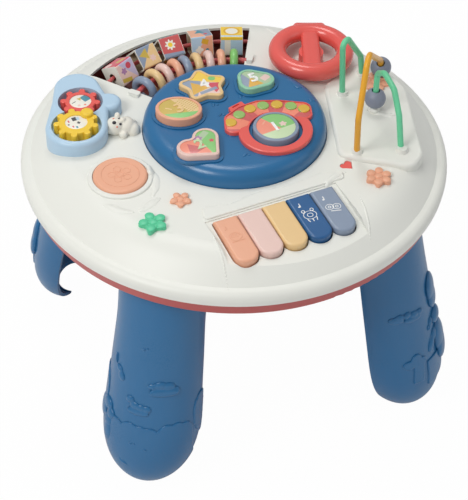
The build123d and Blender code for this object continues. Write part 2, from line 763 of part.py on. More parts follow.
# White cover with every opening
top_cover = cover_outside - cover_inside
backdrop = rounded_face([(-79, -105), (-73, -89), (-50, -95), (-20, -90), (12, -94), (44, -90), (62, -96),
                         (60, -105)], 4.0)
top_cover += soften(prism(backdrop, top_z - 1, top_z + 1.6), top_z + 1.6, 1.2)
drum_ring = tube_cylinder(drum_radius + drum_gap + drum_ring_width, top_z - 0.5, top_z + drum_ring_rise)
drum_ring = Pos(drum_x, drum_y, 0) * soften(drum_ring, top_z + drum_ring_rise, 1.6)
top_cover += drum_ring
top_cover -= tube_cylinder(drum_radius + drum_gap, seam_z, top_z + 20, drum_x, drum_y)
top_cover += tube_cylinder(wheel_post_radius + 4, top_z - 1, wheel_boss_z, wheel_x, wheel_y)
top_cover -= tube_cylinder(wheel_axle_radius + running_gap, seam_z, top_z + 20, wheel_x, wheel_y)
for near, far in wire_feet.values():
    for x, y in (near, far):
        top_cover += tube_cylinder(boss_radius, wire_foot_z - 4, maze_top_z, x, y) & cover_outside
for collar in collars:
    top_cover += collar
top_cover -= tube_cylinder(panel_radius + panel_gap, seam_z, top_z + 40)
top_cover -= pocket_opening
for x in key_places:
    window = key_outline(key_gap / 2 + key_window_gap, key_front_gap)
    top_cover -= Pos(x, 0, 0) * prism(window, seam_z, top_z + 20)
for x in (key_row_x - rod_half, key_row_x + rod_half):
    side = 1 if x < key_row_x else -1
    hanger = Box(hanger_width, 9, 13, align=(Align.CENTER, Align.CENTER, Align.MAX))
    top_cover += Pos(x + side * hanger_width / 2, key_rod_y, top_z - cover_wall + 0.5) * hanger
top_cover -= key_hinge_rod
for angle in (pocket_start - 2.6, pocket_end + 2.6):
    holder = Box(ring_holder_width, 6.0, ring_holder_rise + 1)
    holder = fillet(holder.edges().filter_by(Axis.Z), 1.5)
    holder_place = Pos(*polar(ring_radius, angle, top_z + (ring_holder_rise - 1) / 2))
    top_cover += holder_place * Rot(0, 0, angle) * holder
top_cover -= prism(place(small_heart(0.3), heart_x, heart_y, heart_turn), seam_z, top_z + 5)
for angle in screw_angles:
    x, y, _ = polar(screw_ring_radius, angle)
    boss = tube_cylinder(post_radius, seam_z, top_z, x, y) & cover_body(cover_wall / 2)
    top_cover += boss
    top_cover -= tube_cylinder(screw_radius, seam_z - 1, seam_z + screw_length, x, y)
for wire in wires.values():
    top_cover -= wire
for axle in (block_axle, ring_axle):
    top_cover -= axle
top_cover = max(top_cover.solids(), key=lambda s: s.volume)
save(top_cover, "top_cover")
save(rear_bin, "rear_bin")
save(block_axle, "block_axle")


# Legs
def toe_scale(z):
    """How much of the full section is left at height z, by a rounded toe."""
    if z >= leg_toe_height:
        return 1.0
    power = 2.2
    share = 1 - ((leg_toe_height - z) / leg_toe_height) ** power
    return max(share, 0.0) ** (1 / power)


leg_side_x = -sin(radians(leg_turn))
leg_side_y = cos(radians(leg_turn))


def leg_axis(z):
    return leg_foot_reach + (leg_top_reach - leg_foot_reach) * z / tray_bottom_z


def leg_loft(inset, low, high):
    """Lofted leg body about its leaning axis, moved in by inset."""
    faces = []
    count = 9
    for k in range(count):
        z = low + (high - low) * (k / (count - 1)) ** 1.7
        down = (tray_bottom_z - z) / tray_bottom_z
        scale = max(toe_scale(z - low), leg_toe_flat)
        depth = (leg_top_depth + (leg_foot_depth - leg_top_depth) * down - inset) * scale
        width = (leg_top_width + (leg_foot_width - leg_top_width) * min(1.3 * down, 1.0) - inset) * scale
        spot = Plane(origin=(leg_axis(z), 0, z), x_dir=(leg_side_y, -leg_side_x, 0), z_dir=(0, 0, 1))
        faces.append(spot * Ellipse(depth, width))
    return loft(faces)


def leg_inner_half(extra=0.0):
    """Everything on the inner side of the leg's open face."""
    foot_u = leg_foot_reach - leg_cut
    rate = (leg_top_reach - leg_foot_reach) / tray_bottom_z
    side = Polyline((foot_u - 30 * rate - 120, -30), (foot_u - 30 * rate + extra, -30),
                    (foot_u + (tray_bottom_z + 40) * rate + extra, tray_bottom_z + 40),
                    (foot_u + (tray_bottom_z + 40) * rate - 120, tray_bottom_z + 40), close=True)
    along = (-sin(radians(leg_cut_turn)), cos(radians(leg_cut_turn)), 0)
    return extrude(Plane.XZ * make_face(side), 90, dir=along, both=True)


def leg_plug(grow, low, high):
    """Half-round plug that the leg is pushed into the tray with."""
    spot = Plane(origin=(leg_top_reach, 0, low), x_dir=(leg_side_y, -leg_side_x, 0), z_dir=(0, 0, 1))
    section = spot * Ellipse(leg_top_depth - leg_plug_inset + grow, leg_top_width - leg_plug_inset + grow)
    plug = extrude(section, high - low, dir=(0, 0, 1))
    return plug - leg_inner_half(leg_plug_inset - grow)


leg_outside = leg_loft(0.0, 0.0, tray_bottom_z)
leg_hollow = leg_loft(leg_wall, leg_wall, tray_bottom_z - leg_plate)
toe_notch = extrude(Circle(leg_notch_radius), leg_notch_height, both=True)
toe_notch = Pos(leg_foot_reach - leg_notch_back, leg_notch_side, 0) * toe_notch
leg = leg_outside - leg_hollow - leg_inner_half() - toe_notch
leg += leg_plug(0.0, tray_bottom_z, tray_bottom_z + leg_plug_height)
leg = max(leg.solids(), key=lambda s: s.volume)
leg_angles = {
    "leg_front_left": -90 + leg_yaw - leg_half_spread,
    "leg_front_right": -90 + leg_yaw + leg_half_spread,
    "leg_rear_left": 90 + leg_yaw + leg_half_spread,
    "leg_rear_right": 90 + leg_yaw - leg_half_spread,
}


def at_leg(node, shape):
    """The shape turned to the leg's place, mirrored for one pair of opposite legs."""
    if node in ("leg_front_right", "leg_rear_left"):
        shape = shape.mirror(Plane.XZ)
    return Rot(0, 0, leg_angles[node]) * shape


for node in leg_angles:
    save(at_leg(node, leg), node)

# Coral tray with sockets, screw posts and the battery box
tray_outline = make_face([
    Line((0, tray_bottom_z), (tray_foot_radius, tray_bottom_z)),
    ThreePointArc((tray_foot_radius, tray_bottom_z), (tray_foot_radius + 2.0, tray_bottom_z + 1.0),
                  (tray_foot_radius + 3.0, tray_bottom_z + 3.0)),
    Line((tray_foot_radius + 3.0, tray_bottom_z + 3.0), (tray_rim_radius, seam_z)),
    Line((tray_rim_radius, seam_z), (tray_rim_radius - tray_wall, seam_z)),
    Line((tray_rim_radius - tray_wall, seam_z), (tray_foot_radius, tray_bottom_z + tray_wall)),
    Line((tray_foot_radius, tray_bottom_z + tray_wall), (0, tray_bottom_z + tray_wall)),
    Line((0, tray_bottom_z + tray_wall), (0, tray_bottom_z)),
])
base_tray = revolved(tray_outline)
tray_floor_z = tray_bottom_z + tray_wall
battery_length = cell_length + 2 * battery_gap
battery_width = 3 * (2 * cell_radius + battery_gap) + battery_gap
battery_roof_z = tray_bottom_z + 2 * cell_radius + 2 * battery_gap + 2.0
base_tray += Pos(0, 0, (tray_bottom_z + battery_roof_z) / 2 + 1) * Box(
    battery_length + 5, battery_width + 5, battery_roof_z - tray_bottom_z + 2)
base_tray -= Pos(0, 0, (tray_bottom_z + battery_roof_z) / 2) * Box(
    battery_length, battery_width, battery_roof_z - tray_bottom_z)
base_tray -= Pos(0, 0, tray_bottom_z) * Box(battery_length + 3, battery_width + 3, 4.0)
plug_top_z = tray_bottom_z + leg_plug_height
for node in leg_angles:
    base_tray += at_leg(node, leg_plug(plug_clearance + tray_wall, tray_bottom_z + 0.5, plug_top_z))
    base_tray -= at_leg(node, leg_plug(plug_clearance, tray_bottom_z - 1, plug_top_z + 1))
for angle in screw_angles:
    x, y, _ = polar(screw_ring_radius, angle)
    base_tray += tube_cylinder(post_radius, tray_floor_z - 0.5, seam_z, x, y)
    base_tray -= tube_cylinder(screw_radius + 0.2, tray_bottom_z - 1, seam_z + 1, x, y)
    base_tray -= tube_cylinder(screw_head_radius + 0.3, tray_bottom_z - 1, seam_z - 6.0, x, y)
key_post_places = [(key_row_x + dx, dy) for dx in (-52.0, 52.0) for dy in (-146.0, -124.0)]
for x, y in key_post_places:
    base_tray += tube_cylinder(3.5, tray_floor_z - 0.5, key_board_z, x, y)
drum_pad_top_z = drum_stem_z - drum_travel - seat_gap
drum_post_z = drum_pad_top_z - pad_rise
base_tray += tube_cylinder(7.0, tray_floor_z - 0.5, drum_post_z, drum_x, drum_y)
for k in range(-3, 4):
    grille = Pos(speaker_x + 5.0 * k, speaker_y, tray_bottom_z + 1) * Box(2.0, 30 - 4 * abs(k), 6)
    base_tray -= grille
bin_posts = [polar(125.0, a)[:2] for a in (70.0, 92.5, 115.0)]
for x, y in bin_posts:
    base_tray += tube_cylinder(post_radius, tray_floor_z - 0.5, bin_floor_z - bin_wall, x, y)
switch_slot = Pos(switch_x, switch_y, tray_bottom_z + 1) * Box(9.0 + switch_travel, 5.4, 6)
base_tray -= switch_slot
save(base_tray, "base_tray")

# Screws that hold the tray to the cover
screw_seat_z = seam_z - 6.0
screw = tube_cylinder(screw_head_radius, screw_seat_z - 2.2, screw_seat_z)
screw = fillet(screw.edges().sort_by(Axis.Z)[0], 1.0)
screw += tube_cylinder(screw_radius, screw_seat_z, seam_z + screw_length)
screw -= Pos(0, 0, screw_seat_z - 2.2) * (Box(4.0, 0.8, 2.0) + Box(0.8, 4.0, 2.0))
cover_screws = [Pos(*polar(screw_ring_radius, a)) * screw for a in screw_angles]
save(Compound(children=cover_screws), "cover_screws")

# Circuit boards under the keys and under the centre panel
key_board = Pos(key_row_x, -135.0, key_board_z + board_thickness / 2) * Box(116, 32, board_thickness)
panel_board = tube_cylinder(panel_board_radius, panel_board_z, panel_board_z + board_thickness)
save(Compound(children=[key_board, panel_board]), "circuit_boards")

# Rubber contact pads under the keys, the buttons and the drum
key_tip_drop = sin(radians(key_rest_tilt + key_stroke)) * (key_rod_y + 140.0)
pressed_bottom = key_bottom_z - key_tip_drop
key_pad_top_z = pressed_bottom - 1.2


def contact_pad(x, y, low, high):
    return Pos(x, y, (low + high) / 2) * Cone(5.0, 3.2, high - low)


contact_pads = [contact_pad(x, -140.0, key_board_z + board_thickness, key_pad_top_z) for x in key_places]
contact_pads += [contact_pad(x, y, panel_board_z + board_thickness, pad_top_z)
                 for _, x, y, _, _ in buttons.values()]
contact_pads.append(contact_pad(drum_x, drum_y, drum_post_z, drum_pad_top_z))
save(Compound(children=contact_pads), "contact_pads")

# Speaker on the tray's floor
speaker = tube_cylinder(speaker_radius, tray_floor_z, tray_floor_z + 3.0)
speaker += Pos(0, 0, tray_floor_z + 5.5) * Cone(speaker_radius - 2, 11, 5.0)
speaker += tube_cylinder(11.0, tray_floor_z + 8, tray_floor_z + speaker_height)
save(Pos(speaker_x, speaker_y, 0) * speaker, "speaker")

# Three cells, lying side by side, and the door under them
cells = []
cell_z = tray_bottom_z + 2.0 + cell_radius
for k in (-1, 0, 1):
    cell = Cylinder(cell_radius, cell_length - 1.5) + Pos(0, 0, cell_length / 2) * Cylinder(2.7, 1.5)
    cell = Rot(0, 90, 0) * cell
    cells.append(Pos(0, k * (2 * cell_radius + battery_gap), cell_z) * cell)
save(Compound(children=cells), "battery_cells")
battery_door = Pos(0, 0, tray_bottom_z + 1.0) * Box(battery_length + 2.6, battery_width + 2.6, 2.0)
for k in range(-3, 4):
    battery_door -= Pos(20.0, 3.0 * k, tray_bottom_z) * Box(8.0, 1.2, 0.8)
save(battery_door, "battery_door")

# Slide switch in the tray's floor
switch_plate = Pos(0, 0, tray_floor_z + seat_gap + 1.0) * Box(20.0, 9.0, 2.0)
switch_knob = Pos(0, 0, tray_bottom_z + 0.5 + 2.0) * Box(8.0, 5.0, 4.0)
power_switch = Pos(switch_x - switch_travel / 2, switch_y, 0) * (switch_plate + switch_knob)
save(power_switch, "power_switch")
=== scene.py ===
"""Dresses the baby activity table: finishes, prints, small mouldings, light and camera."""

from __future__ import annotations

import json
import logging
import math
from dataclasses import dataclass
from enum import Enum
from typing import Callable, Iterable, Sequence, Union

import bmesh
import bpy
from mathutils import Matrix, Vector

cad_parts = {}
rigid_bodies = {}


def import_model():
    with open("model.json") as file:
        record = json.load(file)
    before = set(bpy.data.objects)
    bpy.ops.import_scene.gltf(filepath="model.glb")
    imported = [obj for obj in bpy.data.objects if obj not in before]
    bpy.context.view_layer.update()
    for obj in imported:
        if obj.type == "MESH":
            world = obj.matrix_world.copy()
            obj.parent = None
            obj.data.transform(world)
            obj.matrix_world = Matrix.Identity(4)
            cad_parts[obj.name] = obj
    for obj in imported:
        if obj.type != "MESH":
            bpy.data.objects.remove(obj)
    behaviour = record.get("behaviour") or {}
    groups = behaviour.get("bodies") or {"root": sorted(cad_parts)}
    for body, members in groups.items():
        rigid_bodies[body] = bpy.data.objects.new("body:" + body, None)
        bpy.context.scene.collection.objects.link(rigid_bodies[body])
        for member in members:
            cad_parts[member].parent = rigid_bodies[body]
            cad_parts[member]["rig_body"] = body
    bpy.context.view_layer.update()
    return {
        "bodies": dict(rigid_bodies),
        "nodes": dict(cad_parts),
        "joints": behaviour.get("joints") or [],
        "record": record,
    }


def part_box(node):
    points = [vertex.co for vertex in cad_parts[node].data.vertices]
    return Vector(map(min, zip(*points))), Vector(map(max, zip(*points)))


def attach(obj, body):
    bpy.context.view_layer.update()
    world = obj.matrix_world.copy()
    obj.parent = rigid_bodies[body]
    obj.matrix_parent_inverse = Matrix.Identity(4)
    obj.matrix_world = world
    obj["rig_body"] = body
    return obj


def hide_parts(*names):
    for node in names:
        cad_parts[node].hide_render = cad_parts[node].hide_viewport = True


log = logging.getLogger("activity_table")

# Lengths are in metres, except where a docstring says millimetres.
MM = 0.001
PER_METRE = 1000.0
# Width of a print's soft edge and half width of a raised line, in millimetres.
PRINT_EDGE = 0.22
LINE_HALF = 0.42
# Angles in degrees under which the edges of plates and of soft forms are smooth.
PLATE_SMOOTH = 35.0
SOFT_SMOOTH = 60.0
# A crease's half width at its ends, and what it gains at its middle, as shares of the stated one.
TRAIL_END = 0.45
TRAIL_SWELL = 0.55
# Sides of a round stamp.
ROUND_SIDES = 28
WHITE_LIGHT = (1.0, 1.0, 1.0, 1.0)

Colour = tuple[float, float, float]
Place = tuple[float, float, float]


def paint(red: int, green: int, blue: int) -> Colour:
    """Turn a colour seen on screen into linear light.

    Args:
        red: red from 0 to 255.
        green: green from 0 to 255.
        blue: blue from 0 to 255.

    Returns:
        The three linear values.
    """
    def linear(value: int) -> float:
        """Return one channel in linear light."""
        share = value / 255
        return share / 12.92 if share <= 0.04045 else ((share + 0.055) / 1.055) ** 2.4

    return linear(red), linear(green), linear(blue)


class Shade:
    """The colours of the table's own plastics and prints, and one painted shade for the blocks' recesses.
    """

    WARM_WHITE = paint(233, 233, 226)
    CREAM = paint(240, 236, 224)
    # Painted shade: a darker beige that stands for the shade inside the blocks' recessed ends.
    RECESS_SHADE_BEIGE = paint(196, 178, 150)
    LEG_BLUE = paint(36, 107, 158)
    KEY_BLUE = paint(36, 92, 146)
    TRAY_RED = paint(190, 84, 80)
    POCKET_RED = paint(122, 54, 48)
    CORAL = paint(236, 96, 88)
    ROSE = paint(205, 92, 92)
    SALMON = paint(240, 138, 112)
    PEACH = paint(238, 174, 142)
    PINK = paint(236, 202, 192)
    BUTTER = paint(236, 200, 144)
    SUN = paint(247, 206, 62)
    OCHRE = paint(224, 172, 52)
    OLIVE = paint(206, 176, 72)
    WIRE_AMBER = paint(238, 172, 46)
    WIRE_MINT = paint(112, 214, 164)
    MINT = paint(150, 206, 172)
    STAR_GREEN = paint(92, 206, 158)
    LEAF = paint(132, 200, 110)
    LENS_GOLD = paint(220, 178, 58)
    LENS_GREEN = paint(150, 190, 104)
    PALE_GREEN = paint(200, 222, 176)
    SAGE = paint(176, 200, 160)
    SLATE = paint(140, 154, 176)
    STEEL_GREY = paint(136, 142, 160)
    SKY = paint(184, 212, 234)
    TEAL = paint(52, 140, 160)
    INK = paint(42, 40, 48)
    CRIMSON = paint(214, 62, 84)
    MAUVE = paint(172, 120, 168)
    LILAC = paint(200, 190, 220)
    WHITE = paint(246, 246, 244)


Operand = Union["Signal", float, int, Sequence[float]]


class Signal:
    """A shader socket that Python's operators turn into Math nodes."""

    def __init__(self, bench: "Bench", socket: bpy.types.NodeSocket) -> None:
        """Keep the socket and the bench that its nodes go on."""
        self.bench = bench
        self.socket = socket

    def __add__(self, other: Operand) -> "Signal":
        """Return the sum."""
        return self.bench.math("ADD", self, other)

    __radd__ = __add__

    def __sub__(self, other: Operand) -> "Signal":
        """Return the difference."""
        return self.bench.math("SUBTRACT", self, other)

    def __rsub__(self, other: Operand) -> "Signal":
        """Return the difference, the other way round."""
        return self.bench.math("SUBTRACT", other, self)

    def __mul__(self, other: Operand) -> "Signal":
        """Return the product."""
        return self.bench.math("MULTIPLY", self, other)

    __rmul__ = __mul__

    def __truediv__(self, other: Operand) -> "Signal":
        """Return the quotient."""
        return self.bench.math("DIVIDE", self, other)

    def __abs__(self) -> "Signal":
        """Return the value without its sign."""
        return self.bench.math("ABSOLUTE", self)

    def __gt__(self, other: Operand) -> "Signal":
        """Return 1 where the value is greater."""
        return self.bench.math("GREATER_THAN", self, other)

    def __lt__(self, other: Operand) -> "Signal":
        """Return 1 where the value is less."""
        return self.bench.math("LESS_THAN", self, other)

    def most(self, other: Operand) -> "Signal":
        """Return the larger of the two."""
        return self.bench.math("MAXIMUM", self, other)

    def root(self) -> "Signal":
        """Return the square root."""
        return self.bench.math("SQRT", self)

    def cosine(self) -> "Signal":
        """Return the cosine."""
        return self.bench.math("COSINE", self)

    def filled(self) -> "Signal":
        """Turn a distance outside an outline in millimetres into a mask, 1 inside and 0 outside."""
        return self.bench.math("ADD", self / -PRINT_EDGE, 0.5, clamp=True)


class Bench:
    """One material or world and the nodes that are put on it."""

    def __init__(self, name: str, kind: str = "materials") -> None:
        """Make an empty material, or another kind of data that has nodes."""
        self.owner = getattr(bpy.data, kind).new(name)
        self.owner.use_nodes = True
        self.tree = self.owner.node_tree
        self.tree.nodes.clear()

    def node(self, kind: str, settings: dict | None = None, inputs: dict | None = None) -> bpy.types.Node:
        """Add one node.

        Args:
            kind: the node's type name.
            settings: the node's own options, which are set first.
            inputs: socket name or number to a value or a Signal.

        Returns:
            The new node.
        """
        made = self.tree.nodes.new(kind)
        for option, value in (settings or {}).items():
            setattr(made, option, value)
        for key, value in (inputs or {}).items():
            if isinstance(value, Signal):
                self.tree.links.new(value.socket, made.inputs[key])
            else:
                made.inputs[key].default_value = value
        return made

    def math(self, operation: str, *operands: Operand, clamp: bool = False) -> Signal:
        """Add a Math node and return its value."""
        settings = {"operation": operation, "use_clamp": clamp}
        return Signal(self, self.node("ShaderNodeMath", settings, dict(enumerate(operands))).outputs[0])

    def mix(self, factor: Operand, first: Operand, second: Operand) -> Signal:
        """Blend two colours.

        Args:
            factor: 0 for the first, 1 for the second.
            first: a colour or a Signal.
            second: a colour or a Signal.

        Returns:
            The blended colour.
        """
        values = [v if isinstance(v, Signal) else (*v, 1.0) for v in (first, second)]
        made = self.node("ShaderNodeMix", {"data_type": "RGBA"}, {0: factor, 6: values[0], 7: values[1]})
        return Signal(self, made.outputs[2])

    def place(self) -> Signal:
        """Return the object's own coordinates."""
        return Signal(self, self.node("ShaderNodeTexCoord").outputs["Object"])

    def split(self, vector: Signal) -> tuple[Signal, Signal, Signal]:
        """Return a vector's three numbers."""
        outputs = self.node("ShaderNodeSeparateXYZ", None, {0: vector}).outputs
        return Signal(self, outputs[0]), Signal(self, outputs[1]), Signal(self, outputs[2])

    def local(self, origin: Place, turn: Matrix | None = None) -> tuple[Signal, Signal, Signal]:
        """Return coordinates in millimetres about a point.

        Args:
            origin: the point, in metres.
            turn: rotation from the table's axes to the piece's own, or None.

        Returns:
            The three local coordinates.
        """
        shifted = self.node("ShaderNodeVectorMath", {"operation": "SUBTRACT"}, {0: self.place(), 1: origin})
        x, y, z = self.split(Signal(self, shifted.outputs[0]))
        x, y, z = x * PER_METRE, y * PER_METRE, z * PER_METRE
        if turn is None:
            return x, y, z
        rows = [x * row[0] + y * row[1] + z * row[2] for row in turn]
        return rows[0], rows[1], rows[2]

    def noise(self, scale: float, detail: float = 2.0) -> Signal:
        """Return smooth noise from 0 to 1 at a scale per metre."""
        inputs = {"Vector": self.place(), "Scale": scale, "Detail": detail}
        return Signal(self, self.node("ShaderNodeTexNoise", None, inputs).outputs[0])

    def bump(self, height: Signal, distance: float, normal: Signal | None = None) -> Signal:
        """Return a normal bent by a height of 0 to 1 times a distance in metres."""
        inputs = {"Strength": 1.0, "Distance": distance, "Height": height}
        if normal is not None:
            inputs["Normal"] = normal
        return Signal(self, self.node("ShaderNodeBump", None, inputs).outputs[0])

    def finish(self, colour: Operand, roughness: Operand, normal: Signal | None = None,
               **rest: Operand) -> None:
        """Close the material with its Principled shader.

        Args:
            colour: base colour.
            roughness: surface roughness.
            normal: bent normal, or None.
            rest: further sockets by name, with _ for a space.
        """
        base = colour if isinstance(colour, Signal) else (*colour, 1.0)
        inputs = {"Base Color": base, "Roughness": roughness}
        if normal is not None:
            inputs["Normal"] = normal
        inputs.update({name.replace("_", " "): value for name, value in rest.items()})
        shader = self.node("ShaderNodeBsdfPrincipled", None, inputs)
        self.node("ShaderNodeOutputMaterial", None, {0: Signal(self, shader.outputs[0])})


@dataclass(frozen=True)
class Plastic:
    """Moulded plastic with a fine grain, slow waviness and a little uneven gloss."""

    name: str
    colour: Colour
    roughness: float = 0.38
    coat: float = 0.0
    grain: float = 0.00002
    wave: float = 0.00025
    tint: float = 0.035
    slow_scale = 14.0
    wave_scale = 26.0
    fine_scale = 2600.0
    slow_gloss = 0.10
    fine_gloss = 0.08
    coat_roughness = 0.12

    def make(self) -> bpy.types.Material:
        """Return the plastic as a material."""
        bench = Bench(self.name)
        slow = bench.noise(self.slow_scale)
        fine = bench.noise(self.fine_scale, 1.0)
        darker = tuple(value * (1.0 - 2.0 * self.tint) for value in self.colour)
        colour = bench.mix(slow, darker, self.colour)
        roughness = self.roughness + (slow - 0.5) * self.slow_gloss + (fine - 0.5) * self.fine_gloss
        ripple = bench.bump(bench.noise(self.wave_scale, 1.0), self.wave)
        normal = bench.bump(fine, self.grain, ripple)
        bench.finish(colour, roughness, normal, Coat_Weight=self.coat,
                     Coat_Roughness=self.coat_roughness)
        return bench.owner


class Form(Enum):
    """Outlines that a printed patch or a raised stamp can have."""

    DISC = "disc"
    BAR = "bar"
    HALF = "half"
    RING = "ring"
    TRIANGLE = "triangle"
    BLOOM = "bloom"
    DOTS = "dots"
    BALL = "ball"


DISC, BAR, HALF, RING, TRIANGLE, BLOOM, DOTS, BALL = Form
# How deep a bloom's edge dips, as a share of its size, and the outward direction of a triangle's sides.
PETAL_DEPTH = 0.22
SLANT = (0.866, 0.5)


@dataclass(frozen=True)
class Patch:
    """One flat printed shape: form, middle and sizes in millimetres, colour and turn in degrees."""

    form: Form
    x: float
    y: float
    sizes: tuple[float, ...]
    colour: Colour
    turn: float = 0.0

    def mask(self, bench: Bench, u: Signal, v: Signal) -> Signal:
        """Return 1 where the patch prints.

        Args:
            bench: where the nodes go.
            u: first coordinate on the print, in millimetres.
            v: second coordinate.

        Returns:
            The patch's mask.
        """
        c, s = math.cos(math.radians(self.turn)), math.sin(math.radians(self.turn))
        a, b = u - self.x, v - self.y
        x, y = a * c + b * s, b * c - a * s
        size = self.sizes
        if self.form is DISC:
            return ((x * x + y * y).root() - size[0]).filled()
        if self.form is RING:
            return (abs((x * x + y * y).root() - size[0]) - size[1]).filled()
        if self.form is BAR:
            return (abs(x) - size[0]).most(abs(y) - size[1]).filled()
        if self.form is HALF:
            return y.filled()
        if self.form is TRIANGLE:
            sides = (abs(x) * SLANT[0] + y * SLANT[1]).most(y * -1.0)
            return (sides - size[0]).filled()
        if self.form is BLOOM:
            angle = bench.math("ARCTAN2", y, x)
            edge = (angle * size[1]).cosine() * (PETAL_DEPTH * size[0]) + size[0]
            return ((x * x + y * y).root() - edge).filled()
        pitch = size[1]
        cell = [bench.math("PINGPONG", value, pitch / 2) for value in (x, y)]
        spot = ((cell[0] * cell[0] + cell[1] * cell[1]).root() - size[2]).filled()
        return spot * (abs(x) - size[0]).most(abs(y) - size[0]).filled()


@dataclass(frozen=True)
class Picture:
    """A print of several patches on a ground colour."""

    ground: Colour
    patches: tuple[Patch, ...]

    def colour(self, bench: Bench, u: Signal, v: Signal) -> Signal:
        """Lay the patches over each other.

        Args:
            bench: where the nodes go.
            u: first coordinate, in millimetres.
            v: second coordinate.

        Returns:
            The print's colour.
        """
        result: Operand = self.ground
        for patch in self.patches:
            result = bench.mix(patch.mask(bench, u, v), result, patch.colour)
        return result


def picture(ground: Colour, *rows: tuple) -> Picture:
    """Return a print from its ground and rows of form, middle, sizes, colour and perhaps turn."""
    return Picture(ground, tuple(Patch(*row) for row in rows))


@dataclass(frozen=True)
class PrintedFoil:
    """A picture under a smooth clear skin, about a point of the table."""

    name: str
    picture: Picture
    origin: Place
    fine_scale = 900.0
    wave_scale = 60.0
    wave = 0.00012
    haze = 0.10
    roughness = 0.30
    coat = 0.55
    coat_roughness = 0.08

    def make(self) -> bpy.types.Material:
        """Return the print as a material."""
        bench = Bench(self.name)
        u, v, _ = bench.local(self.origin)
        fine = bench.noise(self.fine_scale)
        colour = bench.mix(fine * self.haze, self.picture.colour(bench, u, v), Shade.WHITE)
        normal = bench.bump(bench.noise(self.wave_scale, 1.0), self.wave)
        bench.finish(colour, self.roughness + fine * self.haze, normal, Coat_Weight=self.coat,
                     Coat_Roughness=self.coat_roughness)
        return bench.owner


def placed(name: str, data: bpy.types.ID) -> bpy.types.Object:
    """Return a new object of the scene that shows the given data."""
    made = bpy.data.objects.new(name, data)
    bpy.context.scene.collection.objects.link(made)
    return made


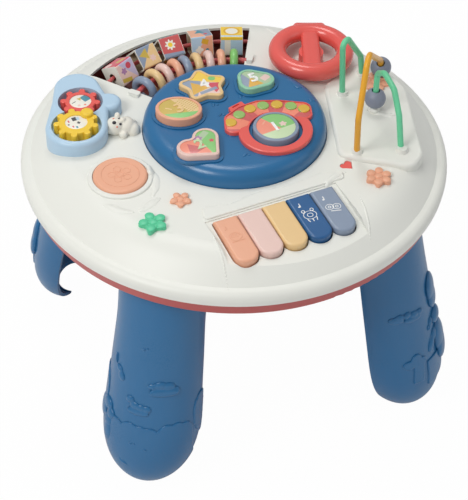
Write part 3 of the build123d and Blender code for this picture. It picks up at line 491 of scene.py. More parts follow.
class Workshop:
    """Bench work on meshes: operators, tidy selection, and handing pieces to their bodies."""

    # Smoothing rounds of melted balls, and distances in metres within which heights and points agree.
    blob_rounds = 9
    level_gap = 0.00008
    weld = 0.00001
    # How squarely a face has to look up or out, from 0 to 1.
    level_share = 0.95
    outer_share = 0.3
    # A plate's rounding as a share of its thickness, and angles in radians.
    flat_angle = 0.02
    edge_share = 0.45
    edge_angle = 0.9
    # A letter's extra weight as a share of its size, its rounding and lift as shares of its thickness.
    letter_weight = 0.018
    letter_edge = 0.2
    letter_lift = 0.4

    def __init__(self, frame: dict) -> None:
        """Keep the frame and let go of its selection."""
        self.nodes: dict = frame["nodes"]
        self.slot_of: dict = {part["node"]: part["material_slot"] for part in frame["record"]["subparts"]}
        self.body_of: dict = {n: o["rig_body"] for n, o in self.nodes.items()}
        self.release()

    @staticmethod
    def release() -> None:
        """Leave edit mode and deselect everything."""
        if bpy.context.object is not None and bpy.context.object.mode != "OBJECT":
            bpy.ops.object.mode_set(mode="OBJECT")
        for obj in bpy.data.objects:
            obj.select_set(False)

    def pick(self, obj: bpy.types.Object) -> bpy.types.Object:
        """Make one object the only selected and active one."""
        self.release()
        obj.select_set(True)
        bpy.context.view_layer.objects.active = obj
        return obj

    def coat(self, material: bpy.types.Material, *names: str) -> None:
        """Give CAD nodes a material."""
        for name in names:
            data = self.nodes[name].data
            if not data.materials:
                data.materials.append(material)
            for index in range(len(data.materials)):
                data.materials[index] = material

    def mould(self, node: str, colour: Colour, roughness: float, coat: float = 0.0) -> bpy.types.Material:
        """Give a CAD node a plastic of its own and return the material."""
        material = Plastic(node + "_plastic", colour, roughness, coat).make()
        self.coat(material, node)
        return material

    def edit(self, obj: bpy.types.Object,
             chosen: Callable[[bmesh.types.BMFace], bool] | None = None) -> None:
        """Enter edit mode with the chosen faces selected.

        Args:
            obj: the mesh object.
            chosen: test for a face, or None for all faces.
        """
        self.pick(obj)
        bpy.ops.object.mode_set(mode="EDIT")
        bpy.ops.mesh.select_mode(type="FACE")
        bpy.ops.mesh.select_all(action="DESELECT")
        work = bmesh.from_edit_mesh(obj.data)
        for face in work.faces:
            face.select_set(True if chosen is None else chosen(face))
        bmesh.update_edit_mesh(obj.data)

    def modify(self, obj: bpy.types.Object, kind: str, **settings: object) -> None:
        """Add a modifier, set it and apply it."""
        self.pick(obj)
        modifier = obj.modifiers.new(kind.title(), kind)
        for option, value in settings.items():
            setattr(modifier, option, value)
        bpy.ops.object.modifier_apply(modifier=modifier.name)

    def copy_of(self, node: str, name: str) -> bpy.types.Object:
        """Return a merged copy of a CAD node's mesh as a new object."""
        made = placed(name, self.nodes[node].data.copy())
        made.data.materials.clear()
        self.edit(made)
        bpy.ops.mesh.remove_doubles(threshold=self.weld)
        bpy.ops.mesh.customdata_custom_splitnormals_clear()
        bpy.ops.object.mode_set(mode="OBJECT")
        return made

    def skin_of(self, node: str, name: str, height: float, rise: float) -> bpy.types.Object:
        """Make a thin plate on a level face of a CAD node.

        Args:
            node: the CAD node.
            name: the new object's name.
            height: the face's height in metres.
            rise: the plate's thickness in metres.

        Returns:
            The plate.
        """
        plate = self.copy_of(node, name)

        def spare(face: bmesh.types.BMFace) -> bool:
            """Tell whether a face isn't part of the plate."""
            near = abs(face.calc_center_median().z - height) < self.level_gap
            return not (near and face.normal.z > self.level_share)

        self.edit(plate, spare)
        bpy.ops.mesh.delete(type="FACE")
        bpy.ops.mesh.select_all(action="SELECT")
        bpy.ops.mesh.dissolve_limited(angle_limit=self.flat_angle)
        bpy.ops.object.mode_set(mode="OBJECT")
        self.modify(plate, "SOLIDIFY", thickness=rise, offset=1.0)
        self.modify(plate, "BEVEL", width=rise * self.edge_share, segments=3, limit_method="ANGLE",
                    angle_limit=self.edge_angle)
        return plate

    def settle(self, obj: bpy.types.Object, node: str, material: bpy.types.Material,
               smooth: float = SOFT_SMOOTH) -> bpy.types.Object:
        """Apply an object's place, smooth it and let it ride.

        Args:
            obj: the finished piece.
            node: the CAD node whose body it takes.
            material: its finish.
            smooth: angle in degrees under which edges are smooth.

        Returns:
            The same object.
        """
        self.pick(obj)
        bpy.ops.object.transform_apply(location=True, rotation=True, scale=True)
        bpy.ops.object.shade_smooth_by_angle(angle=math.radians(smooth))
        obj.data.materials.clear()
        obj.data.materials.append(material)
        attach(obj, self.body_of[node])
        log.info("%s rides on %s", obj.name, self.body_of[node])
        return obj

    def melt(self, parts: Sequence[bpy.types.Object], name: str, voxel: float,
             rounds: int) -> bpy.types.Object:
        """Join solids and melt them into one soft form.

        Args:
            parts: the solids, each closed.
            name: the new object's name.
            voxel: cell size in metres.
            rounds: how often the form is smoothed.

        Returns:
            The soft form.
        """
        self.release()
        for part in parts:
            part.select_set(True)
        bpy.context.view_layer.objects.active = parts[0]
        if len(parts) > 1:
            bpy.ops.object.join()
        made = bpy.context.object
        made.name = name
        self.modify(made, "REMESH", mode="VOXEL", voxel_size=voxel)
        self.modify(made, "SMOOTH", factor=0.5, iterations=rounds)
        return made

    def emboss(self, node: str, name: str, stamps: Sequence["Stamp"], sight: "Sight", rise: float,
               voxel: float = 0.0005, rounds: int = 3, sink: float = 0.0) -> bpy.types.Object:
        """Stand a raised mark on a CAD node's surface.

        Args:
            node: the CAD node.
            name: the mark's name.
            stamps: what it is made of.
            sight: from where the surface is looked for.
            rise: half of the stamps' thickness, in metres.
            voxel: cell size in metres.
            rounds: how often the mark is smoothed.
            sink: how far the stamps' middles lie under the surface, in metres.

        Returns:
            The mark, one soft form.
        """
        solids = []
        for stamp in stamps:
            point, normal = self.spot(node, stamp, sight)
            solids.append(stamp.solid(point - normal * sink, normal, sight.upward, rise))
        return self.melt(solids, name, voxel, rounds)

    def spot(self, node: str, stamp: "Stamp", sight: "Sight") -> tuple[Vector, Vector]:
        """Find where a stamp meets a CAD node.

        Args:
            node: the CAD node.
            stamp: the stamp.
            sight: from where the surface is looked for.

        Returns:
            The point and the surface's outward direction.
        """
        eye, look = sight.ray(stamp.across, stamp.up)
        hit, point, normal, _ = self.nodes[node].ray_cast(eye, look)
        if not hit:
            log.warning("%s has no surface at %s, %s", node, stamp.across, stamp.up)
            return eye + look * 0.1, -look
        return point, normal

    def sheet_of(self, node: str, name: str, sight: "Sight", rise: float, sink: float) -> bpy.types.Object:
        """Return a thick sheet that follows the outer side of a CAD node.

        Args:
            node: the CAD node.
            name: the sheet's name.
            sight: tells which way is out.
            rise: thickness outside the surface in metres.
            sink: thickness inside it in metres.

        Returns:
            The sheet.
        """
        sheet = self.copy_of(node, name)

        def inner(face: bmesh.types.BMFace) -> bool:
            """Tell whether a face doesn't look outwards."""
            return face.normal.dot(sight.outward(face.calc_center_median())) < self.outer_share

        self.edit(sheet, inner)
        bpy.ops.mesh.delete(type="FACE")
        bpy.ops.object.mode_set(mode="OBJECT")
        thick = rise + sink
        self.modify(sheet, "SOLIDIFY", thickness=thick, offset=2.0 * rise / thick - 1.0)
        return sheet

    def overlay(self, sheet: bpy.types.Object, node: str, name: str, stamps: Sequence["Stamp"],
                sight: "Sight", voxel: float, reach: float) -> bpy.types.Object:
        """Cut a raised layer out of a thick sheet.

        Args:
            sheet: the sheet, which stays as it is.
            node: the CAD node that it follows.
            name: the layer's name.
            stamps: outline of the layer.
            sight: from where the surface is looked for.
            voxel: cell size in metres.
            reach: how deep the stamps cut in metres.

        Returns:
            The layer, one soft form.
        """
        pieces = []
        for stamp in stamps:
            cutter = stamp.solid(*self.spot(node, stamp, sight), sight.upward, reach)
            piece = placed(name, sheet.data.copy())
            self.modify(piece, "BOOLEAN", operation="INTERSECT", object=cutter, solver="EXACT")
            bpy.data.objects.remove(cutter)
            pieces.append(piece)
        return self.melt(pieces, name, voxel, 3)

    def lettering(self, text: str, name: str, size: float, depth: float, place: Place) -> bpy.types.Object:
        """Make upright lettering lying on a level face.

        Args:
            text: what it says.
            name: the object's name.
            size: letter size in metres.
            depth: thickness in metres.
            place: middle of the letters on the face.

        Returns:
            The letters as a mesh.
        """
        self.release()
        bpy.ops.object.text_add(location=(0, 0, 0))
        made = bpy.context.object
        made.name = name
        made.data.body = text
        made.data.size = size
        made.data.extrude = depth / 2
        made.data.offset = size * self.letter_weight
        made.data.bevel_depth = depth * self.letter_edge
        made.data.align_x, made.data.align_y = "CENTER", "CENTER"
        bpy.ops.object.convert(target="MESH")
        made = bpy.context.object
        centre = sum((Vector(corner) for corner in made.bound_box), Vector()) / 8
        made.data.transform(Matrix.Translation(-centre))
        made.data.transform(Matrix.Translation(Vector(place) + Vector((0, 0, depth * self.letter_lift))))
        self.edit(made)
        bpy.ops.mesh.remove_doubles(threshold=self.weld / 2)
        bpy.ops.object.mode_set(mode="OBJECT")
        return made

    def blob(self, name: str, balls: Iterable[tuple[Place, Place]], voxel: float) -> bpy.types.Object:
        """Melt stretched balls into one soft form.

        Args:
            name: the object's name.
            balls: pairs of middle and half sizes, in metres.
            voxel: size of the cells that the balls are melted in.

        Returns:
            The soft form.
        """
        parts = []
        for middle, sizes in balls:
            self.release()
            bpy.ops.mesh.primitive_uv_sphere_add(segments=32, ring_count=20, radius=1.0)
            ball = bpy.context.object
            ball.data.transform(Matrix.Translation(middle) @ Matrix.Diagonal((*sizes, 1.0)))
            parts.append(ball)
        return self.melt(parts, name, voxel, self.blob_rounds)


@dataclass(frozen=True)
class Stamp:
    """One raised mark: its form, place across and up, half sizes in millimetres and turn in degrees."""

    form: Form
    across: float
    up: float
    width: float
    height: float
    turn: float = 0.0

    def solid(self, point: Vector, normal: Vector, upward: Vector, depth: float) -> bpy.types.Object:
        """Make the stamp's solid on a surface.

        Args:
            point: where it stands.
            normal: the surface's outward direction.
            upward: what the turn is measured from.
            depth: half of its thickness in metres.

        Returns:
            The solid.
        """
        side = upward.cross(normal).normalized()
        swing = Matrix.Rotation(math.radians(self.turn), 3, normal)
        axes = Matrix((swing @ side, swing @ normal.cross(side), normal)).transposed()
        Workshop.release()
        if self.form is BALL:
            bpy.ops.mesh.primitive_uv_sphere_add(segments=ROUND_SIDES, ring_count=18, radius=1.0)
        elif self.form is RING:
            line = LINE_HALF / self.width
            bpy.ops.mesh.primitive_torus_add(major_segments=40, minor_segments=10, major_radius=1.0,
                                             minor_radius=line)
            depth = depth / line
        else:
            sides = 4 if self.form is BAR else ROUND_SIDES
            bpy.ops.mesh.primitive_cylinder_add(vertices=sides, radius=1.0, depth=2.0)
        made = bpy.context.object
        corner = 1.0
        if self.form is BAR:
            corner = math.sqrt(2.0)
            made.data.transform(Matrix.Rotation(math.radians(45.0), 4, "Z"))
        sizes = (self.width * MM * corner, self.height * MM * corner, depth)
        made.data.transform(Matrix.Translation(point) @ axes.to_4x4() @ Matrix.Diagonal((*sizes, 1.0)))
        return made


def press(form: Form, *rows: tuple[float, ...]) -> tuple[Stamp, ...]:
    """Return stamps of one form, from rows of place across, place up, half sizes and perhaps turn."""
    return tuple(Stamp(form, *row) for row in rows)


def trail(points: Sequence[tuple[float, float]], half: float, step: float = 2.5) -> tuple[Stamp, ...]:
    """Return round stamps along a line of points.

    Args:
        points: the line's points in millimetres.
        half: the line's half width at its middle; it thins towards both ends.
        step: distance between stamps in millimetres.

    Returns:
        The stamps.
    """
    places = []
    for (x0, y0), (x1, y1) in zip(points, points[1:]):
        count = max(1, round(math.hypot(x1 - x0, y1 - y0) / step))
        places += [(x0 + (x1 - x0) * k / count, y0 + (y1 - y0) * k / count) for k in range(count)]
    places.append(points[-1])
    last = len(places) - 1
    stamps = []
    for number, (x, y) in enumerate(places):
        size = half * (TRAIL_END + TRAIL_SWELL * math.sin(math.pi * number / last))
        stamps.append(Stamp(BALL, x, y, size, size))
    return tuple(stamps)


class Sight:
    """Straight down on the table: across is x and up is y, in millimetres."""

    upward = Vector((0, 1, 0))
    start = 0.4

    def ray(self, across: float, up: float) -> tuple[Vector, Vector]:
        """Return where a look starts and its direction."""
        return Vector((across * MM, up * MM, self.start)), Vector((0, 0, -1))

    def outward(self, _: Vector) -> Vector:
        """Return the direction that is out at a point."""
        return Vector((0, 0, 1))


class LegSight(Sight):
    """Inwards round a leg: across is the angle about the leg's axis and up is the height in millimetres."""

    upward = Vector((0, 0, 1))
    start = 0.09
    foot_reach = 0.192
    lean = 47.0 / 237.0

    def __init__(self, azimuth: float) -> None:
        """Keep the leg's direction round the table in degrees."""
        self.azimuth = azimuth

    def axis(self, height: float) -> Vector:
        """Return the point of the leg's axis at a height in metres."""
        reach = self.foot_reach - self.lean * height
        a = math.radians(self.azimuth)
        return Vector((reach * math.cos(a), reach * math.sin(a), height))

    def ray(self, across: float, up: float) -> tuple[Vector, Vector]:
        """Return where a look starts and its direction."""
        a = math.radians(self.azimuth + across)
        out = Vector((math.cos(a), math.sin(a), 0))
        return self.axis(up * MM) + out * self.start, -out

    def outward(self, point: Vector) -> Vector:
        """Return the direction away from the leg's axis."""
        way = point - self.axis(point.z)
        return way.normalized()


@dataclass
class Mouldings:
    """The plain moulded parts of the table and what each is made of."""

    shop: Workshop
    cover: Plastic = Plastic("cover_plastic", Shade.WARM_WHITE, 0.42, wave=0.0004, tint=0.012)
    tray: Plastic = Plastic("tray_plastic", Shade.TRAY_RED, 0.40)
    blue: Plastic = Plastic("blue_plastic", Shade.LEG_BLUE, 0.30, coat=0.12)
    coral: Plastic = Plastic("coral_plastic", Shade.CORAL, 0.26, coat=0.3, wave=0.0004)

    def dress(self) -> None:
        """Give the plain nodes their plastics."""
        white = self.cover.make()
        self.shop.coat(white, "top_cover")
        self.shop.coat(self.tray.make(), "base_tray", "battery_door")
        blue = self.blue.make()
        legs = [name for name in self.shop.nodes if name.startswith("leg_")]
        self.shop.coat(blue, "dome_panel", *legs)
        LegReliefs(self.shop, blue).build()
        TopReliefs(self.shop, white, blue).build()
        PuffyTrims(self.shop, Plastic("trim_puff", Shade.PEACH, 0.36)).build()
        self.shop.coat(self.coral.make(), "steering_wheel", "phone_frame")
        plain = {
            "rear_bin": Plastic("pocket_plastic", Shade.POCKET_RED, 0.5),
            "ring_axle": Plastic("axle_plastic", Shade.ROSE, 0.4),
            "block_axle": Plastic("block_axle_plastic", Shade.ROSE, 0.4),
            "heart_light": Plastic("heart_plastic", Shade.CORAL, 0.2, coat=0.6),
            "star_green": Plastic("star_green_plastic", Shade.STAR_GREEN, 0.32),
            "star_peach": Plastic("star_peach_plastic", Shade.PEACH, 0.36),
            "flower_trims": Plastic("flower_plastic", Shade.PEACH, 0.36),
            "wire_left": Plastic("wire_mint_plastic", Shade.WIRE_MINT, 0.34),
            "wire_right": Plastic("wire_mint_plastic_right", Shade.WIRE_MINT, 0.34),
            "wire_middle": Plastic("wire_amber_plastic", Shade.WIRE_AMBER, 0.34),
            "bead_upper": Plastic("bead_plastic", Shade.STEEL_GREY, 0.45, tint=0.08),
            "bead_lower": Plastic("bead_plastic_low", Shade.STEEL_GREY, 0.45, tint=0.08),
            "gear_housing": Plastic("housing_plastic", Shade.SKY, 0.36),
            "power_switch": Plastic("switch_plastic", Shade.INK, 0.5),
            "contact_pads": Plastic("pad_rubber", Shade.STEEL_GREY, 0.8),
            "speaker": Plastic("speaker_cone", Shade.INK, 0.7),
            "circuit_boards": Plastic("board_lacquer", paint(40, 110, 70), 0.4),
            "battery_cells": Plastic("cell_foil", paint(190, 190, 196), 0.3),
            "cover_screws": Plastic("screw_steel", paint(180, 180, 184), 0.3),
            "key_hinge_rod": Plastic("rod_steel", paint(190, 190, 196), 0.25),
        }
        for node, finish in plain.items():
            self.shop.coat(finish.make(), node)


@dataclass(frozen=True)
class Layer:
    """A raised layer: its name, how far it stands proud in metres, cell size and stamps.

    A bent layer follows the curved wall under it.
    """

    name: str
    rise: float
    voxel: float
    stamps: tuple[Stamp, ...]
    bent: bool = False


LEG_LANDSCAPE = (
    Layer("hills", 0.0012, 0.0011,
          press(DISC, (-6, 82, 10, 10), (8, 80, 11, 11), (21, 81, 9, 9), (33, 78, 9, 9),
                      (44, 84, 9, 9.5), (57, 84, 8, 9), (68, 80, 9, 10), (-78, 92, 18, 34),
                      (-30, 76, 13, 13), (100, 84, 15, 26))
          + press(BAR, (25, 40, 40, 36), (-45, 38, 30, 34)), bent=True),
    Layer("cloud_high", 0.0021, 0.0006,
          press(BALL, (20, 136.5, 5, 3.4), (30, 138, 6, 4.4), (41, 136.5, 6, 4.4), (49.5, 131, 5, 4.4),
                      (35, 130, 14, 5))),
    Layer("cloud_low", 0.0021, 0.0006,
          press(BALL, (-9.5, 117, 4.6, 4.2), (-2, 112, 5, 4.2), (7, 111, 5, 3.8),
                      (14.5, 110.5, 4.6, 3.8), (3, 106, 11, 4.4))),
    Layer("leaf", 0.002, 0.0006,
          press(BALL, (-32, 142, 4.6, 3.2, -20), (-27, 135.5, 4, 5.4, 25), (-40, 149, 1.1, 6, 12))),
    Layer("bush", 0.003, 0.0007,
          press(BALL, (-48, 93, 8, 7), (-39, 86, 6, 6), (-44, 76, 7, 7), (-44, 63, 6.5, 14),
                      (-62, 82, 9, 15))),
    Layer("pip", 0.0009, 0.0005,
          press(BALL, (3.5, 174.5, 2, 2), (9, 176, 1.1, 1.1))),
    Layer("pebbles", 0.0024, 0.0005,
          press(BALL, (-2.6, 69, 2, 2), (2.6, 69.5, 1.2, 1.2), (17, 65, 2.2, 1.2),
                      (-13, 41, 6, 2.6, -20))),
)
LEG_ANIMALS = (
    Layer("bank_high", 0.0042, 0.0009,
          press(BALL, (12, 150, 12, 17), (14, 138, 12, 14))),
    Layer("bank_middle", 0.0048, 0.0009,
          press(BALL, (13, 115, 11, 9))),
    Layer("bank_low", 0.0056, 0.001,
          press(BALL, (15, 88, 14, 20), (20, 74, 16, 18))),
    Layer("curl", 0.0022, 0.0006,
          press(BALL, (-6, 116, 2.4, 5.4, -20), (-11, 111, 2.2, 3.4, -50))),
    Layer("fin", 0.0026, 0.0006,
          press(BALL, (-11, 91, 4, 9.6, -28), (-1, 98, 5, 7, -20))),
    Layer("cloud_high", 0.0024, 0.0006,
          press(BALL, (-47, 141, 4.4, 3.4, 35), (-36, 139, 5.4, 4), (-26, 139, 4.6, 3.4),
                      (-38, 135, 10, 4))),
    Layer("cloud_far", 0.002, 0.0006,
          press(BALL, (-63, 137, 8, 4.4), (-57, 140, 5, 4))),
    Layer("bush", 0.0014, 0.0007,
          press(DISC, (-42, 85, 6, 6), (-53, 80, 7, 5), (-33, 80, 5, 5))
          + press(BAR, (-40, 67, 6.4, 13), (2, 60, 20, 16)), bent=True),
)


@dataclass
class LegReliefs:
    """Raised landscapes on the legs, the same on legs that stand opposite each other."""

    shop: Workshop
    finish: bpy.types.Material
    sink: float = 0.0008
    reach: float = 0.030
    left_azimuth: float = -139.7
    right_azimuth: float = -47.7

    def build(self) -> None:
        """Raise the layers on two legs and repeat them on the opposite ones."""
        self._leg("leg_front_left", "leg_rear_right", self.left_azimuth, LEG_LANDSCAPE)
        self._leg("leg_front_right", "leg_rear_left", self.right_azimuth, LEG_ANIMALS)

    def _leg(self, node: str, opposite: str, azimuth: float, layers: tuple[Layer, ...]) -> None:
        """Raise one leg's layers and repeat them.

        Args:
            node: the leg.
            opposite: the leg across the table.
            azimuth: the leg's direction in degrees.
            layers: the raised layers.
        """
        sight = LegSight(azimuth)
        for layer in layers:
            name = f"{node}_{layer.name}"
            if layer.bent:
                sheet = self.shop.sheet_of(node, "sheet", sight, layer.rise, self.sink)
                raised = self.shop.overlay(sheet, node, name, layer.stamps, sight, layer.voxel, self.reach)
                bpy.data.objects.remove(sheet)
            else:
                raised = self.shop.emboss(node, name, layer.stamps, sight, layer.rise, layer.voxel)
            repeated = placed(f"{opposite}_{layer.name}", raised.data.copy())
            repeated.data.transform(Matrix.Rotation(math.pi, 4, "Z"))
            self.shop.settle(raised, node, self.finish)
            self.shop.settle(repeated, opposite, self.finish)


SOFT_CREASES: dict[str, tuple[float, tuple[tuple[float, float], ...]]] = {
    "drum_side": (6, ((-94, -20), (-95, -36), (-100, -48), (-106, -56))),
    "drum_low": (6.5, ((-103, -62), (-113, -66), (-124, -70))),
    "drum_far": (6, ((-131, -69), (-140, -63), (-149, -50))),
    "swirl": (4.4, ((40, -107), (47, -101.5), (56, -99), (64, -98))),
    "key_left": (2.1, ((-78, -118), (-80, -136), (-82, -152), (-86, -174))),
    "key_right": (2.1, ((61, -128), (58, -146), (53, -164), (47, -180))),
    "lump": (4, ((122, -33), (129.4, -39.1), (138.9, -47.7), (150.8, -45.9))),
    "wheel_side": (3.6, ((98.3, 133.4), (103, 112.5), (107.1, 98.4))),
}
PANEL_SPECKS = ((-16.2, -56), (-12.8, 5.1), (-12.2, 21.1), (15.8, 22.3), (73.5, -8.8), (70.8, 13.5))


@dataclass
class TopReliefs:
    """Soft creases of the cover and small raised marks of the centre panel."""

    shop: Workshop
    white: bpy.types.Material
    blue: bpy.types.Material
    crease_thick: float = 0.0030
    crease_sink: float = 0.0021
    crease_voxel: float = 0.0007
    crease_rounds: int = 6
    speck_rise: float = 0.0009
    speck_voxel: float = 0.0004

    def build(self) -> None:
        """Raise the creases and the marks."""
        sight = Sight()
        for name, (half, line) in SOFT_CREASES.items():
            stamps = trail(line, half)
            crease = self.shop.emboss("top_cover", "crease_" + name, stamps, sight, self.crease_thick,
                                      self.crease_voxel, self.crease_rounds, self.crease_sink)
            self.shop.settle(crease, "top_cover", self.white)
        for number, (x, y) in enumerate(PANEL_SPECKS, start=1):
            stamps = press(BALL, (x, y, 3.0, 1.5, 20.0 * number), (x + 3.6, y - 1.4, 1.3, 1.1))
            speck = self.shop.emboss("dome_panel", f"panel_speck_{number}", stamps, sight,
                                     self.speck_rise, self.speck_voxel, 2)
            self.shop.settle(speck, "dome_panel", self.blue)


@dataclass(frozen=True)
class Trim:
    """A trim's node, middle and lobes: number, turn in degrees, reach and half size in millimetres."""

    name: str
    node: str
    x: float
    y: float
    lobes: int
    turn: float
    reach: float
    half: float


TRIMS = (
    Trim("green", "star_green", -120.4, -90.9, 5, 18, 8.2, 3.9),
    Trim("peach", "star_peach", -86.3, -72.3, 5, 30, 6.2, 3),
    Trim("front", "flower_trims", 87.5, -118, 6, 0, 8, 3.5),
    Trim("rear", "flower_trims", 151, 2, 6, 20, 9.6, 4),
)


@dataclass
class PuffyTrims:
    """Rounded lobes that make the small stars and flowers plump."""

    shop: Workshop
    finish: Plastic
    rise: float = 0.0012
    voxel: float = 0.0004

    def build(self) -> None:
        """Raise the lobes of each trim."""
        peach = self.finish.make()
        green = Plastic("star_green_puff", Shade.STAR_GREEN, 0.32).make()
        for trim in TRIMS:
            stamps = [Stamp(BALL, trim.x, trim.y, trim.half, trim.half)]
            for number in range(trim.lobes):
                degrees = trim.turn + 360.0 * number / trim.lobes
                a = math.radians(degrees)
                lobe_x, lobe_y = trim.x + trim.reach * math.cos(a), trim.y + trim.reach * math.sin(a)
                stamps.append(Stamp(BALL, lobe_x, lobe_y, trim.half * 1.1, trim.half * 1.15,
                                    degrees - 90.0))
            puff = self.shop.emboss(trim.node, "puff_" + trim.name, stamps, Sight(), self.rise,
                                    self.voxel, 2)
            colour = green if trim.node == "star_green" else peach
            self.shop.settle(puff, trim.node, colour)


@dataclass
class NumberButton:
    """One push button: rim colour, printed inlay and its digit."""

    shop: Workshop
    node: str
    digit: str
    rim: Colour
    picture: Picture
    digit_size: float = 0.0175
    digit_colour: Colour = Shade.WHITE
    digit_shift: tuple[float, float] = (0.0, 0.0)
    well: float = 0.001
    inlay: float = 0.0006

    def build(self) -> None:
        """Colour the rim, lay the print in the well and stand the digit on it."""
        low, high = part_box(self.node)
        middle = (low + high) / 2
        self.shop.mould(self.node, self.rim, 0.34)
        floor = high.z - self.well
        foil = PrintedFoil(self.node + "_print", self.picture, (middle.x, middle.y, 0.0))
        plate = self.shop.skin_of(self.node, self.node + "_inlay", floor, self.inlay)
        self.shop.settle(plate, self.node, foil.make(), PLATE_SMOOTH)
        spot = (middle.x + self.digit_shift[0], middle.y + self.digit_shift[1], floor + self.inlay)
        digit = self.shop.lettering(self.digit, self.node + "_digit", self.digit_size, self.inlay, spot)
        ink = Plastic(self.node + "_digit_plastic", self.digit_colour, 0.4)
        self.shop.settle(digit, self.node, ink.make(), PLATE_SMOOTH)


def button_set(shop: Workshop) -> list[NumberButton]:
    """Return the five number buttons with their prints.

    Args:
        shop: the workshop that builds them.

    Returns:
        The buttons in the order of their digits.
    """
    one = picture(Shade.SALMON, (HALF, 1, 0, (), Shade.LEAF, 118),
                  (HALF, 0, -4.5, (), Shade.PALE_GREEN, 4), (BLOOM, 7.5, 1, (3, 5), Shade.PINK),
                  (BAR, -8, 9, (2.6, 0.5), Shade.PEACH, 40))
    two = picture(Shade.SALMON, (HALF, 3, 0, (), Shade.LEAF, 100), (BAR, 6, 9, (8, 3), Shade.SAGE, 35),
                  (TRIANGLE, -7, -5, (5,), Shade.ROSE, 20), (BLOOM, 1.5, 7.5, (3.6, 6), Shade.MAUVE),
                  (DISC, 1.5, 7.5, (1.4,), Shade.PINK), (BLOOM, 12, 0.5, (2, 5), Shade.CRIMSON))
    three = picture(Shade.OLIVE, (HALF, 3.5, 0, (), Shade.BUTTER, 110),
                    (DOTS, 12, 4, (11, 2.4, 0.7), Shade.OLIVE, 30), (HALF, 0, -7, (), Shade.LEAF, -14),
                    (BAR, -9, 3, (3.2, 0.6), Shade.BUTTER, -38))
    four = picture(Shade.SLATE, (HALF, -4, 0, (), Shade.PINK, 60), (HALF, 4, 2, (), Shade.SUN, 150),
                   (TRIANGLE, -8, -4, (5.6,), Shade.OCHRE, 15),
                   (TRIANGLE, 9, -7, (5,), Shade.CRIMSON, 40), (DISC, 10, 5, (3.4,), Shade.LEAF),
                   (BAR, 0, -11, (9, 2), Shade.SLATE, 8))
    five = picture(Shade.SAGE, (HALF, -5, 0, (), Shade.SLATE, -70),
                   (TRIANGLE, -3.5, -6.5, (4.6,), Shade.OCHRE, 0),
                   (BAR, 10, -3, (5, 3.4), Shade.PINK, 25), (BLOOM, 10.5, 7, (2.2, 5), Shade.TEAL),
                   (DISC, 3, 10, (1.3,), Shade.INK))
    return [
        NumberButton(shop, "button_one", "1", Shade.SLATE, one, digit_shift=(-0.001, 0.0)),
        NumberButton(shop, "button_two", "2", Shade.PINK, two, digit_colour=Shade.PALE_GREEN),
        NumberButton(shop, "button_three", "3", Shade.PEACH, three, digit_colour=Shade.BUTTER),
        NumberButton(shop, "button_four", "4", Shade.BUTTER, four),
        NumberButton(shop, "button_five", "5", Shade.MINT, five, digit_shift=(-0.001, 0.001)),
    ]


@dataclass
class Telephone:
    """Petals and lights round the first button."""

    shop: Workshop
    button: Place = (0.0228, -0.0390, 0.0)
    bed: float = 0.3038
    inlay: float = 0.0004
    petal_count: float = 14.0
    light_edges: tuple[float, ...] = (-0.00435, 0.00805, 0.0210, 0.0337, 0.04545, 0.0555)

    def build(self) -> None:
        """Lay the petals in the recess and colour the lights."""
        petals = self.shop.skin_of("phone_frame", "phone_petals", self.bed, self.inlay)
        self.shop.settle(petals, "phone_frame", self._petal_print(), PLATE_SMOOTH)
        self.shop.coat(self._light_lens(), "phone_lights")

    def _petal_print(self) -> bpy.types.Material:
        """Return fans of salmon and rose that meet at the button."""
        bench = Bench("phone_petal_print")
        u, v, _ = bench.local(self.button)
        angle = bench.math("ARCTAN2", v, u)
        fan = (bench.math("SINE", angle * (self.petal_count / 2)) * 6.0 + 0.5)
        stripe = bench.math("MULTIPLY", fan, 1.0, clamp=True)
        colour = bench.mix(stripe, Shade.SALMON, Shade.ROSE)
        fine = bench.noise(900.0)
        bench.finish(colour, 0.34 + fine * 0.1, bench.bump(fine, 0.00003), Coat_Weight=0.4,
                     Coat_Roughness=0.1)
        return bench.owner

    def _light_lens(self) -> bpy.types.Material:
        """Return lenses that are yellow and green in turn along the handset."""
        bench = Bench("phone_light_lens")
        x, _, _ = bench.split(bench.place())
        turns = 1.0
        green: Signal | None = None
        for edge in self.light_edges:
            step = (x > edge) * turns
            green = step if green is None else green + step
            turns = -turns
        colour = bench.mix(green, Shade.LENS_GOLD, Shade.LENS_GREEN)
        fine = bench.noise(700.0)
        bench.finish(colour, 0.18 + fine * 0.1, bench.bump(bench.noise(320.0), 0.0002), Coat_Weight=0.8,
                     Coat_Roughness=0.06)
        return bench.owner


KEY_PICTURES: dict[str, tuple[Stamp, ...]] = {
    "key_1": (
        press(RING, (-61.5, -134, 5.6, 4.6), (-63.6, -133, 1.7, 1.7), (-59.4, -133, 1.7, 1.7))
        + press(BAR, (-61.5, -139.6, 6, 0.5)) + press(BALL, (-66.5, -124, 1.3, 1))
        + press(BAR, (-65.4, -122.2, 0.4, 2.2))),
    "key_4": (
        press(RING, (9.2, -136, 6, 4.8), (9.2, -136, 2.6, 2.2), (5, -130.4, 1.5, 1.5),
                    (13.4, -130.4, 1.5, 1.5))
        + press(BAR, (5.2, -142, 0.45, 2, 20), (13.2, -142, 0.45, 2, -20), (9.2, -142.4, 0.45, 1.8))
        + press(BALL, (4.6, -124, 1.3, 1)) + press(BAR, (5.7, -122.2, 0.4, 2.4))),
    "key_5": (
        press(RING, (29.4, -134, 3.6, 3.2), (35.8, -135.4, 3.6, 3.2), (29.4, -134, 1.2, 1.2),
                    (35.8, -135.4, 1.2, 1.2)) + press(BAR, (32.8, -140, 4.8, 0.45, -14))
        + press(BALL, (28.4, -124, 1.2, 1)) + press(BAR, (29.4, -122.2, 0.4, 2.2))),
}


